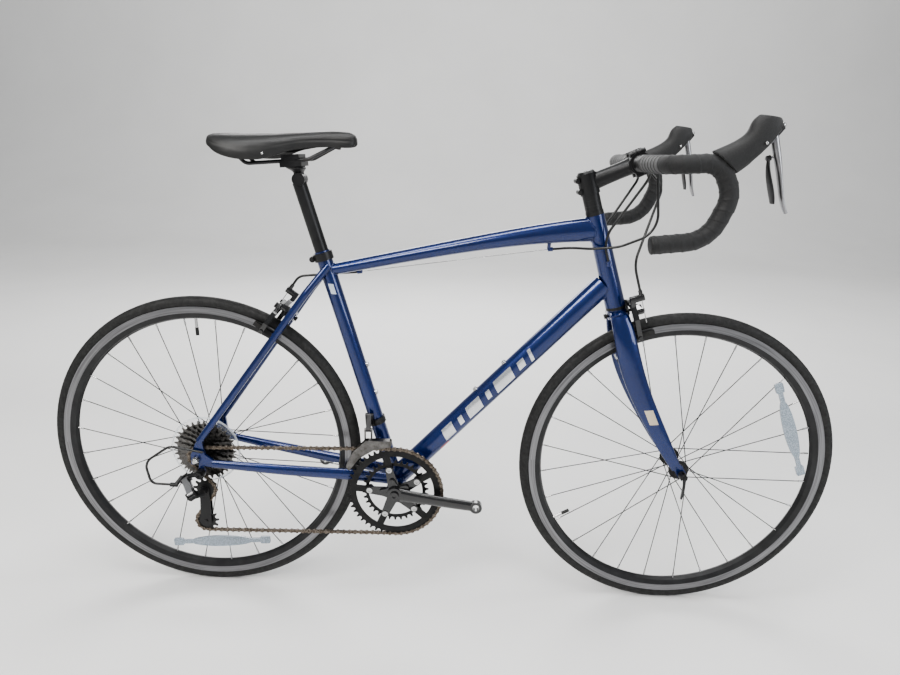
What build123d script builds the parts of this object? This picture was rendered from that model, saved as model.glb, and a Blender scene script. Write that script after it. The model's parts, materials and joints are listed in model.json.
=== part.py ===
from build123d import *
import os
from math import asin, atan2, cos, degrees, hypot, pi, radians, sin, sqrt

# A road bicycle, in millimetres. X points forward, Y to the rider's left and Z up. The origin is on the
# ground, midway between the two wheel axles, with the steering straight ahead.

os.makedirs("parts", exist_ok=True)

# ---- Clearances ----
slip = 0.05  # radial gap of a part pushed or screwed into another
run = 0.06  # radial gap of a shaft that turns in its bore
weld_gap = 0.04  # gap between two welded tubes

# ---- Frame geometry ----
wheelbase = 1019.0
chainstay = 422.2
bb_drop = 72.0
head_angle = 72.5
seat_angle = 73.0
fork_rake = 49.6
tyre_radius = 336.0  # outside of the tyre
tyre_width = 25.0
rim_radius = 316.0
rim_width = 23.0
rim_inner_radius = 288.0
front_locknuts = 100.0
rear_locknuts = 130.0

head_low = 378.8  # bottom of the head tube, measured up the steering axis
head_length = 188.9
head_radius_low = 20.5
head_radius_top = 18.0
steerer_radius = 14.3
seat_tube_radius = 15.9
seat_tube_length = 533.0
post_radius = 13.6
post_top = 678.0  # from the bottom bracket, along the seat tube
post_inserted = 110.0
bb_shell_radius = 20.5
bb_shell_width = 68.0
down_tube_half_depth = 22.5
down_tube_half_width = 20.0
seat_stay_radius = 7.5
dropout_thick = 6.0

# ---- Cockpit ----
stem_length = 100.0
stem_rise = 7.0  # degrees above square to the steerer
stem_height = 40.0
spacer_stack = 33.0
bar_radius = 11.9
bar_clamp_radius = 15.9
bar_half_width = 212.0
bar_wall = 1.6
tape_radius = 16.0

# ---- Drivetrain ----
pitch = 12.7
ring_teeth = 50
inner_ring_teeth = 34
cog_teeth = [11, 13, 15, 18, 21, 24, 28, 32]
cog_spacing = 4.8
cog_thick = 1.8
ring_y = -46.0
inner_ring_y = -38.5
small_cog_y = -58.0
pulley_teeth = 11
ring_thick = 2.0
chain_links = 110
crank_length = 175.0
crank_angle = -4.6  # of the right arm, from straight ahead
bolt_circle = 110.0
bolt_count = 5
pedal_thread_radius = 7.14

spoke_count = 28
spoke_radius = 0.9
bottle_bolt_radius = 4.5

# ---- Points that the rest hangs on ----
rear_x = -wheelbase / 2
front_x = wheelbase / 2
bb_x = rear_x + sqrt(chainstay**2 - bb_drop**2)
bb_z = tyre_radius - bb_drop
rear_axle_at = Vector(rear_x, 0, tyre_radius)
front_axle_at = Vector(front_x, 0, tyre_radius)
lateral = Vector(0, 1, 0)
steer_up = Vector(-cos(radians(head_angle)), 0, sin(radians(head_angle)))
steer_fore = Vector(sin(radians(head_angle)), 0, cos(radians(head_angle)))
steer_foot = front_axle_at - steer_fore * fork_rake
seat_up = Vector(-cos(radians(seat_angle)), 0, sin(radians(seat_angle)))
seat_fore = Vector(sin(radians(seat_angle)), 0, cos(radians(seat_angle)))
bb_at = Vector(bb_x, 0, bb_z)


def from_bb(x, y, z):
    """Point measured from the bottom bracket."""
    return Vector(bb_x + x, y, bb_z + z)


def on_steerer(up, fore=0.0, side=0.0):
    """Point measured up the steering axis, ahead of it and to its left."""
    return steer_foot + steer_up * up + steer_fore * fore + lateral * side


def on_seat_tube(up, fore=0.0, side=0.0):
    """Point measured up the seat tube, ahead of it and to its left."""
    return bb_at + seat_up * up + seat_fore * fore + lateral * side


def square_to(start, end):
    """Plane at start that faces end, with its X to the left of the bicycle where it can be."""
    toward = Vector(end) - Vector(start)
    across = lateral if abs(toward.normalized().Y) < 0.95 else Vector(1, 0, 0)
    return Plane(origin=start, x_dir=across, z_dir=toward)


def rod(start, end, radius, mode=Mode.ADD):
    """Round bar between two points."""
    with BuildSketch(square_to(start, end)) as disc:
        Circle(radius)
    extrude(disc.sketch, amount=(Vector(end) - Vector(start)).length, mode=mode)


def pipe(start, end, radius, bore):
    """Round tube between two points."""
    with BuildSketch(square_to(start, end)) as ring:
        Circle(radius)
        Circle(bore, mode=Mode.SUBTRACT)
    extrude(ring.sketch, amount=(Vector(end) - Vector(start)).length)


def cone(start, end, radius, end_radius, mode=Mode.ADD):
    """Round bar between two points that changes radius."""
    with BuildSketch(square_to(start, end)) as near:
        Circle(radius)
    with BuildSketch(square_to(end, Vector(end) * 2 - Vector(start))) as far:
        Circle(end_radius)
    loft(sections=[near.sketch, far.sketch], mode=mode)


def oval_loft(stations, mode=Mode.ADD):
    """Smooth bar through ovals, each given as a point, half width, half depth and direction."""
    sections = []
    for point, half_width, half_depth, toward in stations:
        with BuildSketch(square_to(point, point + toward)) as oval:
            Ellipse(half_width, half_depth)
        sections.append(oval.sketch)
    loft(sections=sections, mode=mode)


def turned(centre, outline, mode=Mode.ADD):
    """Ring turned about the lateral axis through centre, from (sideways, outward) points."""
    with BuildSketch(Plane(origin=centre, x_dir=(0, 1, 0), z_dir=(1, 0, 0))) as profile:
        with BuildLine():
            Polyline(*outline, close=True)
        make_face()
    revolve(profile.sketch, axis=Axis(centre, (0, 1, 0)), mode=mode)


def across(x, z, y_start, y_end, radius, mode=Mode.ADD):
    """Round bar along Y."""
    rod(Vector(x, y_start, z), Vector(x, y_end, z), radius, mode)


def plate(points, y_start, y_end, round_by=0.0, mode=Mode.ADD):
    """Flat plate square to Y, from (x, z) corners."""
    with BuildSketch(Plane(origin=(0, y_start, 0), x_dir=(1, 0, 0), z_dir=(0, -1, 0))) as outline:
        with BuildLine():
            Polyline(*points, close=True)
        make_face()
        if round_by:
            fillet(outline.vertices(), round_by)
    extrude(outline.sketch, amount=y_start - y_end, mode=mode)


def capsule_plate(places, y_start, y_end, mode=Mode.ADD):
    """Flat plate square to Y, stretched round discs given as (x, z, radius)."""
    with BuildSketch(Plane(origin=(0, y_start, 0), x_dir=(1, 0, 0), z_dir=(0, -1, 0))) as outline:
        for x, z, radius in places:
            with Locations((x, z)):
                Circle(radius)
        make_hull()
    extrude(outline.sketch, amount=y_start - y_end, mode=mode)


def routed(points, bends, radius, bore=0.0, mode=Mode.ADD):
    """Cable or bent tube along straight runs joined by arcs."""
    with BuildLine() as route:
        FilletPolyline(*points, radius=bends)
    with BuildSketch(square_to(points[0], points[1])) as section:
        Circle(radius)
        if bore:
            Circle(bore, mode=Mode.SUBTRACT)
    sweep(section.sketch, path=route.line, mode=mode)


def finish(built, name):
    """Label a finished piece and write its file."""
    built.part.label = name
    export_step(built.part, f"parts/{name}.step")


# ======== Frame ========
head_bottom = on_steerer(head_low)
head_top = on_steerer(head_low + head_length)
seat_tube_top = on_seat_tube(seat_tube_length)
down_tube_top = from_bb(415, 0, 461)
down_tube_bottom = from_bb(6, 0, 21)
top_tube_stations = [
    (from_bb(396, 0, 571), 17, 25, Vector(-1, 0, -0.10)),
    (from_bb(250, 0, 552.5), 16, 18.5, Vector(-1, 0, -0.16)),
    (from_bb(102, 0, 524.5), 15, 14.5, Vector(-1, 0, -0.20)),
    (from_bb(-30, 0, 496), 13.5, 12.8, Vector(-1, 0, -0.21)),
    (from_bb(-152, 0, 469.5), 12.5, 11.6, Vector(-1, 0, -0.22)),
]
wall = 1.6


def head_tube_body(grow, mode):
    """Outside of the head tube, grown by a gap."""
    cone(head_bottom, head_top, head_radius_low + grow, head_radius_top + grow, mode)


def seat_tube_body(grow, mode):
    """Outside of the seat tube, grown by a gap."""
    rod(bb_at, seat_tube_top, seat_tube_radius + grow, mode)


def bb_shell_body(grow, mode):
    """Outside of the bottom bracket shell, grown by a gap."""
    half = bb_shell_width / 2 + grow
    across(bb_x, bb_z, half, -half, bb_shell_radius + grow, mode)


headset_bore = steerer_radius + run
cup_radius = 16.5
cup_depth = 14.0
cover_height = 8.0

# Head tube, with the two bearing cups pressed into its ends as separate rings
with BuildPart() as head_tube:
    head_tube_body(0, Mode.ADD)
    rod(on_steerer(head_low - 1), on_steerer(head_low + head_length + 1), cup_radius, Mode.SUBTRACT)
    pipe(on_steerer(head_low + 0.2), on_steerer(head_low + cup_depth), cup_radius - slip, headset_bore)
    pipe(
        on_steerer(head_low + head_length - cup_depth),
        on_steerer(head_low + head_length - 0.2),
        cup_radius - slip,
        headset_bore,
    )
finish(head_tube, "head_tube")

# Top tube: deep at the head tube, slim and slightly arched towards the seat tube
with BuildPart() as top_tube:
    oval_loft(top_tube_stations)
    inner = [(p, w - wall, d - wall, t) for p, w, d, t in top_tube_stations]
    oval_loft(inner, Mode.SUBTRACT)
    head_tube_body(weld_gap, Mode.SUBTRACT)
    seat_tube_body(weld_gap, Mode.SUBTRACT)
finish(top_tube, "top_tube")

down_way = down_tube_top - down_tube_bottom
with BuildPart() as down_tube:
    oval_loft(
        [
            (down_tube_bottom, down_tube_half_width, down_tube_half_depth, down_way),
            (down_tube_top, down_tube_half_width - 1, down_tube_half_depth, down_way),
        ]
    )
    oval_loft(
        [
            (down_tube_bottom, down_tube_half_width - wall, down_tube_half_depth - wall, down_way),
            (down_tube_top, down_tube_half_width - 1 - wall, down_tube_half_depth - wall, down_way),
        ],
        Mode.SUBTRACT,
    )
    head_tube_body(weld_gap, Mode.SUBTRACT)
    seat_tube_body(weld_gap, Mode.SUBTRACT)
    bb_shell_body(weld_gap, Mode.SUBTRACT)
finish(down_tube, "down_tube")

with BuildPart() as seat_tube:
    seat_tube_body(0, Mode.ADD)
    rod(bb_at, on_seat_tube(seat_tube_length + 1), post_radius + run, Mode.SUBTRACT)
    bb_shell_body(weld_gap, Mode.SUBTRACT)
finish(seat_tube, "seat_tube")

cup_thread_radius = 17.4
spindle_radius = 8.0
cup_lip = 2.5
# Bottom bracket shell, with the sealed cartridge that carries the spindle as a separate solid
with BuildPart() as bb_shell:
    bb_shell_body(0, Mode.ADD)
    across(bb_x, bb_z, 40, -40, cup_thread_radius + slip, Mode.SUBTRACT)
    half = bb_shell_width / 2
    turned(
        bb_at,
        [
            (-half - cup_lip, spindle_radius + run),
            (half + cup_lip, spindle_radius + run),
            (half + cup_lip, cup_thread_radius + 1.5),
            (half + slip, cup_thread_radius + 1.5),
            (half + slip, cup_thread_radius),
            (-half - slip, cup_thread_radius),
            (-half - slip, cup_thread_radius + 1.5),
            (-half - cup_lip, cup_thread_radius + 1.5),
        ],
    )
finish(bb_shell, "bb_shell")

dropout_in = rear_locknuts / 2
dropout_out = dropout_in + dropout_thick
stay_end_y = dropout_in + dropout_thick / 2 + 0.5
hanger_x = rear_x + 8.0
hanger_z = tyre_radius - 30.0
axle_slot = 5.2  # half width of the slot that takes the rear axle

# Chain stays with the dropouts that they are welded to; the right one carries the derailleur hanger
with BuildPart() as chain_stays:
    for side in (1, -1):
        back = Vector(-1, side * 0.12, 0.11)
        oval_loft(
            [
                (from_bb(-8, side * 21, 17), 8.0, 12.5, back),
                (from_bb(-75, side * 26.5, 26), 8.0, 13.0, back),
                (from_bb(-170, side * 40, 37), 8.5, 12.5, back),
                (from_bb(-300, side * 57, 52), 8.0, 10.5, back),
                (from_bb(-385, side * stay_end_y, 62), 5.2, 8.5, back),
            ]
        )
        corners = [
            (rear_x + 38, tyre_radius - 17),
            (rear_x + 34, tyre_radius - 1),
            (rear_x + 17, tyre_radius + 12),
            (rear_x + 14, tyre_radius + 40),
            (rear_x + 1, tyre_radius + 40),
            (rear_x - 12, tyre_radius + 9),
            (rear_x - 12, tyre_radius - 12),
        ]
        plate(corners, side * dropout_in, side * dropout_out, 2.0)
    capsule_plate(
        [(hanger_x, hanger_z, 8.0), (rear_x + 4, tyre_radius - 10, 9.0)], -dropout_in, -dropout_out
    )
    across(hanger_x, hanger_z, -dropout_in + 1, -dropout_out - 1, 5.0 + slip, Mode.SUBTRACT)
    across(rear_x, tyre_radius, 80, -80, axle_slot, Mode.SUBTRACT)
    for side in (1, -1):
        slot = [
            (rear_x - axle_slot, tyre_radius),
            (rear_x + axle_slot, tyre_radius),
            (rear_x + axle_slot - 4, tyre_radius - 30),
            (rear_x - axle_slot - 4, tyre_radius - 30),
        ]
        plate(slot, side * (dropout_in - 1), side * (dropout_out + 1), 0, Mode.SUBTRACT)
    bb_shell_body(weld_gap, Mode.SUBTRACT)
    seat_tube_body(weld_gap, Mode.SUBTRACT)
finish(chain_stays, "chain_stays")

bridge_at = from_bb(-222.8, 0, 373.1)
stay_low_y = dropout_in + dropout_thick / 2
stay_out = Vector(-0.814, 0, 0.581)  # square to the stays, towards the rear
bridge_face = 9.5
# Seat stays, from the seat tube to the tops of the dropouts, with the bridge that takes the rear brake
with BuildPart() as seat_stays:
    for side in (1, -1):
        routed(
            [
                from_bb(-140, side * 12, 483),
                from_bb(-185, side * 29, 426),
                from_bb(-408.5, side * stay_low_y, 113),
            ],
            [60],
            seat_stay_radius,
            seat_stay_radius - wall,
        )
    rod(bridge_at + lateral * 33, bridge_at - lateral * 33, 6.5)
    rod(bridge_at - stay_out * 8, bridge_at + stay_out * bridge_face, 8.0)
    rod(bridge_at - stay_out * 20, bridge_at + stay_out * 20, 3.0 + slip, Mode.SUBTRACT)
    seat_tube_body(weld_gap, Mode.SUBTRACT)
    oval_loft([(p, w + weld_gap, d + weld_gap, t) for p, w, d, t in top_tube_stations], Mode.SUBTRACT)
    for side in (1, -1):
        corners = [(rear_x + 30, tyre_radius + 40.1), (rear_x - 20, tyre_radius + 40.1)]
        corners += [(rear_x - 20, tyre_radius - 10), (rear_x + 30, tyre_radius - 10)]
        plate(corners, side * 50, side * 90, 0, Mode.SUBTRACT)
finish(seat_stays, "seat_stays")

# ======== Small frame fittings ========
collar_low = 514.0
collar_high = 530.0
front_stop_at = from_bb(300, 6, 527)
rear_stop_at = from_bb(-80, 21, 467)
front_stop_way = Vector(1, 0, 0.10)
rear_stop_way = Vector(-1, 0, -0.16)
shift_stop_up = 471.0  # up the steering axis
shift_stop_fore = 2.0
shift_stop_side = 24.5
bottle_bolts = [
    (on_seat_tube(280, seat_tube_radius + 0.1), seat_fore),
    (on_seat_tube(216, seat_tube_radius + 0.1), seat_fore),
]
down_up = Vector(-down_way.Z, 0, down_way.X).normalized()
for share in (0.57, 0.43):
    seat = down_tube_bottom + down_way * share + down_up * (down_tube_half_depth + 0.1)
    bottle_bolts.append((seat, down_up))

# Seat collar with its bolt, bottle-cage bolts and cable stops
with BuildPart() as frame_fittings:
    pipe(on_seat_tube(collar_low), on_seat_tube(collar_high), 19.4, seat_tube_radius + slip)
    middle = (collar_low + collar_high) / 2
    for side in (1, -1):
        ear = on_seat_tube(middle, -22.5, side * 4.5)
        cone(ear - lateral * 3.2, ear + lateral * 3.2, 6.0, 6.0)
    rod(on_seat_tube(middle, -22.8, 12.5), on_seat_tube(middle, -22.8, -12.5), 2.6)
    rod(on_seat_tube(middle, -22.8, -8.5), on_seat_tube(middle, -22.8, -12.5), 4.4)
    top_tube_ends = [(p, w + 0.1, d + 0.1, t) for p, w, d, t in top_tube_stations]
    oval_loft(top_tube_ends, Mode.SUBTRACT)
    for place, out in bottle_bolts:
        rod(place, place + out * 1.6, 6.0)
        rod(place + out * 1.6, place + out * 4.4, bottle_bolt_radius)
        rod(place + out * 2.2, place + out * 5, 1.7, Mode.SUBTRACT)
    for stop, slope, root in (
        (front_stop_at, front_stop_way, Vector(0, -3, 18)),
        (rear_stop_at, rear_stop_way, Vector(0, -11, 14)),
    ):
        rod(stop, stop + root, 3.6)
        rod(stop - slope * 2, stop + slope * 8, 4.4)
    oval_loft(top_tube_ends, Mode.SUBTRACT)
    for stop, slope in ((front_stop_at, front_stop_way), (rear_stop_at, rear_stop_way)):
        rod(stop + slope * 1.5, stop + slope * 9, 3.0, Mode.SUBTRACT)
        rod(stop - slope * 6, stop + slope * 9, 1.5, Mode.SUBTRACT)
    for side in (1, -1):
        place = on_steerer(shift_stop_up, shift_stop_fore, side * shift_stop_side)
        rod(place - steer_up * 5, place + steer_up * 5, 4.4)
        rod(place, place - lateral * side * 7, 3.6)
        rod(place - steer_up * 2, place + steer_up * 6, 3.0, Mode.SUBTRACT)
    head_tube_body(weld_gap, Mode.SUBTRACT)
finish(frame_fittings, "frame_fittings")

# ======== Wheels ========


def build_rim(centre, valve_angle):
    """Box-section rim with brake tracks, and its valve as a separate solid."""
    half = rim_width / 2
    turned(
        centre,
        [
            (-half, 301), (-half, rim_radius), (-half + 1.8, rim_radius), (-half + 1.8, 312),
            (-6, 310), (-4, 306), (4, 306), (6, 310), (half - 1.8, 312), (half - 1.8, rim_radius),
            (half, rim_radius), (half, 301), (8, 292), (0, rim_inner_radius), (-8, 292),
        ],
    )
    cavity = [(-half + 1.6, 302), (-7, 304), (7, 304), (half - 1.6, 302), (7, 293), (-7, 293)]
    turned(centre, cavity, Mode.SUBTRACT)
    way = Vector(cos(radians(valve_angle)), 0, sin(radians(valve_angle)))
    rod(centre + way * 280, centre + way * 310, 3.0 + slip, Mode.SUBTRACT)
    rod(centre + way * 268, centre + way * 305, 3.0)
    rod(centre + way * 252, centre + way * 269, 3.6)


def build_tyre(centre):
    """Hollow tyre with two beads inside the rim's hooks."""
    half = tyre_width / 2
    middle = tyre_radius - half
    ring = Plane(origin=centre, x_dir=(0, 1, 0), z_dir=(1, 0, 0))
    with BuildSketch(ring) as section:
        with Locations((0, middle)):
            Circle(half)
            Circle(half - 2.4, mode=Mode.SUBTRACT)
        with Locations((0, rim_radius + 0.3 - 20)):
            Rectangle(60, 40, mode=Mode.SUBTRACT)
        for side in (1, -1):
            with Locations((side * 8.6, rim_radius - 0.2)):
                Rectangle(2.0, 6.0)
    revolve(section.sketch, axis=Axis(centre, (0, 1, 0)))


def build_spokes(centre, flange_left, flange_right, flange_radius):
    """Crossed spokes, each with its nipple just inside the rim."""
    step = 360 / spoke_count
    for number in range(spoke_count):
        left = number % 2 == 0
        leading = (number // 2) % 2 == 0
        flange = flange_left if left else flange_right
        lean = 70 if leading else -70
        rim_way = radians(number * step + step / 2)
        hub_way = rim_way + radians(lean)
        outward = 1 if left else -1
        offset = outward * (3.6 if leading else -2.5)
        start = centre + Vector(flange_radius * cos(hub_way), flange + offset, flange_radius * sin(hub_way))
        drift = 2.0 * outward + offset * 0.4
        reach = rim_inner_radius - 0.2
        end = centre + Vector(reach * cos(rim_way), drift, reach * sin(rim_way))
        way = (end - start).normalized()
        rod(start, end, spoke_radius)
        rod(end - way * 12, end, 1.8)


def build_reflector(centre, angle, radius, y):
    """Long clear reflector with a clip at each end, laid beside the spokes."""
    middle = centre + Vector(radius * cos(radians(angle)), y, radius * sin(radians(angle)))
    along = Vector(-sin(radians(angle)), 0, cos(radians(angle)))
    face = Plane(origin=middle, x_dir=along, z_dir=(0, -1, 0))
    with BuildSketch(face) as lens:
        with Locations((0, 0)):
            Ellipse(72, 13)
        with Locations((0, 0)):
            Rectangle(132, 40, mode=Mode.INTERSECT)
        with Locations((-85, 0), (85, 0)):
            Rectangle(44, 9)
        with Locations((-100, 0), (100, 0)):
            RectangleRounded(22, 17, 3)
    extrude(lens.sketch, amount=5)


def build_hub(centre, half_left, half_right, flange_left, flange_right, flange_radius, axle_radius):
    """Hub shell with two flanges, turning on the axle."""
    bore = axle_radius + run
    turned(
        centre,
        [
            (half_right, bore), (half_right, 11.5), (flange_right - 3, 12),
            (flange_right - 1.4, flange_radius - 4),
            (flange_right - 1.4, flange_radius + 3), (flange_right + 1.4, flange_radius + 3),
            (flange_right + 1.4, flange_radius - 4), (flange_right + 4, 12), (flange_right + 9, 10),
            (flange_left - 9, 10), (flange_left - 4, 12), (flange_left - 1.4, flange_radius - 4),
            (flange_left - 1.4, flange_radius + 3), (flange_left + 1.4, flange_radius + 3),
            (flange_left + 1.4, flange_radius - 4), (flange_left + 3, 12), (half_left, 11.5),
            (half_left, bore),
        ],
    )


front_flange = 33.0
rear_flange_left = 34.0
rear_flange_right = -15.5
front_flange_radius = 18.0
rear_flange_radius = 22.0
front_axle_radius = 4.5
rear_axle_radius = 5.0
valve_front = -150.0
valve_rear = 91.5

with BuildPart() as front_rim:
    build_rim(front_axle_at, valve_front)
finish(front_rim, "front_rim")

with BuildPart() as rear_rim:
    build_rim(rear_axle_at, valve_rear)
finish(rear_rim, "rear_rim")

with BuildPart() as front_tyre:
    build_tyre(front_axle_at)
finish(front_tyre, "front_tyre")

with BuildPart() as rear_tyre:
    build_tyre(rear_axle_at)
finish(rear_tyre, "rear_tyre")

with BuildPart() as front_spokes:
    build_spokes(front_axle_at, front_flange, -front_flange, front_flange_radius)
finish(front_spokes, "front_spokes")

with BuildPart() as rear_spokes:
    build_spokes(rear_axle_at, rear_flange_left, rear_flange_right, rear_flange_radius)
finish(rear_spokes, "rear_spokes")

with BuildPart() as front_hub:
    build_hub(front_axle_at, 41, -41, front_flange, -front_flange, front_flange_radius, front_axle_radius)
finish(front_hub, "front_hub")

with BuildPart() as rear_hub:
    build_hub(
        rear_axle_at, 43, -20, rear_flange_left, rear_flange_right, rear_flange_radius, rear_axle_radius
    )
finish(rear_hub, "rear_hub")

with BuildPart() as front_reflector:
    build_reflector(front_axle_at, 22, 247, -10.9)
finish(front_reflector, "front_reflector")

protector_y = -21.6
# Clear plastic on the rear wheel: the spoke protector behind the largest cog, and the reflector
with BuildPart() as rear_clear_plastics:
    turned(
        rear_axle_at,
        [
            (protector_y, 27), (protector_y, 74), (protector_y + 1.5, 75.5),
            (protector_y + 2.6, 74), (protector_y + 1.6, 72), (protector_y + 1.6, 27),
        ],
    )
    build_reflector(rear_axle_at, -86, 234, -8.2)
finish(rear_clear_plastics, "rear_clear_plastics")


nut_radius = 8.0
nut_grip = 6.0  # round part of the skewer's nut, which a stand can hold


def build_axle(centre, radius, locknut, end, side, dropout_outer):
    """Hollow axle with locknuts, and the quick-release skewer with its nut and cam housing."""
    # the axle and its two locknuts
    turned(
        centre,
        [
            (-end, 2.8), (-end, radius), (-locknut, radius), (-locknut, radius + 3.5),
            (-locknut + 4, radius + 3.5), (-locknut + 4, radius), (locknut - 4, radius),
            (locknut - 4, radius + 3.5), (locknut, radius + 3.5), (locknut, radius), (end, radius), (end, 2.8),
        ],
    )
    # the skewer, with a nut on the far side and the cam housing on the lever's side
    nut_start = dropout_outer + 0.1
    turned(
        centre,
        [
            (-side * (nut_start + 13), 0), (side * (nut_start + 4), 0), (side * (nut_start + 4), 2.5),
            (-side * nut_start, 2.5), (-side * nut_start, nut_radius),
            (-side * (nut_start + nut_grip), nut_radius), (-side * (nut_start + 11), 6.0),
            (-side * (nut_start + 13), 4.0),
        ],
    )
    turned(
        centre,
        [
            (side * (nut_start + 4.05), 0), (side * (nut_start + 16), 0), (side * (nut_start + 16), 7.5),
            (side * nut_start, 8.5), (side * nut_start, 2.6), (side * (nut_start + 4.05), 2.6),
        ],
    )
    pivot = centre + Vector(0, side * (nut_start + 10.5), 0)
    with BuildSketch(Plane(origin=pivot - Vector(3.3, 0, 0), x_dir=(0, 1, 0), z_dir=(1, 0, 0))) as slot:
        with Locations((side * 3, 0)):
            Rectangle(18, 30)
    extrude(slot.sketch, amount=6.6, mode=Mode.SUBTRACT)
    rod(pivot - Vector(6, 0, 0), pivot + Vector(6, 0, 0), 2.2)


def build_qr_lever(centre, side, dropout_outer):
    """Curved quick-release lever on its cam, hanging down when closed."""
    pivot = centre + Vector(0, side * (dropout_outer + 10.6), 0)
    rod(pivot - Vector(2.9, 0, 0), pivot + Vector(2.9, 0, 0), 5.6)
    oval_loft(
        [
            (pivot + Vector(0, side * 4, -1), 2.8, 2.6, Vector(0, side * 0.9, -1)),
            (pivot + Vector(0, side * 8, -11), 2.9, 2.3, Vector(0, side * 0.4, -1)),
            (pivot + Vector(0, side * 9.4, -20), 5.6, 2.1, Vector(0, 0, -1)),
            (pivot + Vector(0, side * 8, -32), 6.5, 2.0, Vector(0, -side * 0.2, -1)),
            (pivot + Vector(0, side * 3, -54), 5.0, 1.6, Vector(0, -side * 0.25, -1)),
        ]
    )
    rod(pivot - Vector(7, 0, 0), pivot + Vector(7, 0, 0), 2.2 + run, Mode.SUBTRACT)


front_dropout_out = front_locknuts / 2 + dropout_thick
with BuildPart() as front_axle:
    build_axle(front_axle_at, front_axle_radius, front_locknuts / 2, 54.5, -1, front_dropout_out)
finish(front_axle, "front_axle")

with BuildPart() as rear_axle:
    build_axle(rear_axle_at, rear_axle_radius, dropout_in, 69.5, 1, dropout_out)
finish(rear_axle, "rear_axle")

with BuildPart() as front_qr_lever:
    build_qr_lever(front_axle_at, -1, front_dropout_out)
finish(front_qr_lever, "front_qr_lever")

with BuildPart() as rear_qr_lever:
    build_qr_lever(rear_axle_at, 1, dropout_out)
finish(rear_qr_lever, "rear_qr_lever")

# ======== Seat ========
rail_radius = 3.5
rail_half_gap = 22.0
clamp_low = from_bb(-229, 0, 682.2)
clamp_way = Vector(1, 0, 0.087)
rail_points = [(-316, 33, 703), (-292, 27, 676.5), (-172, rail_half_gap, 687.5), (-118, 10, 716)]


def rails(grow, mode):
    """Both saddle rails, grown by a gap."""
    for side in (1, -1):
        points = [from_bb(x, side * y, z) for x, y, z in rail_points]
        if not grow:
            points[0] += (points[1] - points[0]).normalized() * 0.4
            points[-1] += (points[-2] - points[-1]).normalized() * 0.4
        routed(points, [16, 24], rail_radius + grow, 0, mode)


pad_stations = [
    # x, centre height, half width, half depth
    (-359, 717, 34, 13), (-338, 714, 61, 17), (-295, 711, 72, 20), (-245, 713, 56, 20),
    (-190, 719, 34, 18), (-135, 724, 22, 16), (-100, 725, 18, 14), (-83, 724, 12, 9),
]


def saddle_loft(shrink, drop, ends, mode):
    """Saddle-shaped body from the pad's stations, made smaller and lower."""
    stations = []
    for number, (x, z, half_width, half_depth) in enumerate(pad_stations):
        moved = x + ends * (1 if number == 0 else -1 if number == len(pad_stations) - 1 else 0)
        stations.append(
            (from_bb(moved, 0, z - drop), half_width - shrink, half_depth - shrink * 0.5, Vector(1, 0, 0.03))
        )
    oval_loft(stations, mode)


under_line = [(-380, 704), (-330, 702), (-266, 689), (-205, 702), (-130, 716), (-70, 717)]
under_line += [(-70, 640), (-380, 640)]
under_line = [(bb_x + x, bb_z + z) for x, z in under_line]

with BuildPart() as saddle_pad:
    saddle_loft(0, 0, 0, Mode.ADD)
    saddle_loft(5.0, 7.0, -3, Mode.SUBTRACT)
    plate(under_line, 100, -100, 0, Mode.SUBTRACT)
finish(saddle_pad, "saddle_pad")

# Saddle shell with its two rails as separate solids
with BuildPart() as saddle_base:
    saddle_loft(5.6, 8.2, 1, Mode.ADD)
    saddle_loft(8.6, 12.0, -6, Mode.SUBTRACT)
    plate(under_line, 100, -100, 0, Mode.SUBTRACT)
    for side in (1, -1):
        socket = from_bb(rail_points[0][0], side * rail_points[0][1], rail_points[0][2])
        rod(socket + Vector(0, 0, -6), socket + Vector(0, 0, 8), 6.5)
        rod(from_bb(-122, side * 10.5, 708), from_bb(-118, side * 10, 722), 6.0)
    saddle_loft(5.6, 8.2, 1, Mode.INTERSECT)
    rails(slip, Mode.SUBTRACT)
    rails(0, Mode.ADD)
finish(saddle_base, "saddle_base")

# Seatpost with its head, and the clamp that grips the rails as separate solids
with BuildPart() as seatpost:
    head_at = on_seat_tube(post_top, 3)
    post_foot = on_seat_tube(seat_tube_length - post_inserted)
    pipe(post_foot, on_seat_tube(post_top - 6), post_radius, post_radius - 2.2)
    rod(head_at + lateral * 15, head_at - lateral * 15, 12.5)
    rod(on_seat_tube(post_top - 24), on_seat_tube(post_top - 5), post_radius)
    jaw_middle = from_bb(-206, 0, 684.6)
    jaw = Plane(origin=jaw_middle, x_dir=clamp_way, z_dir=lateral)
    with BuildSketch(jaw.offset(-rail_half_gap - 6)) as lower:
        with Locations((0, 6.2)):
            Rectangle(42, 11.5)
    with BuildSketch(jaw.offset(-rail_half_gap - 6)) as upper:
        with Locations((0, -5.8)):
            Rectangle(34, 10)
    extrude(lower.sketch, amount=2 * rail_half_gap + 12)
    extrude(upper.sketch, amount=2 * rail_half_gap + 12)
    rails(slip, Mode.SUBTRACT)
    rod(head_at + seat_up * -14, head_at + Vector(0, 0, 24), 3.4)
finish(seatpost, "seatpost")

# ======== Fork and steering ========
crown_up = 361.0
crown_half_depth = 19.0
crown_top = head_low - 6.0
cover_start = head_low + head_length + 0.2
spacer_start = cover_start + cover_height
stem_start = spacer_start + spacer_stack + 0.2
stem_end = stem_start + stem_height
cap_start = stem_end + 0.2
down_steer = steer_up * -1

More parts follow.
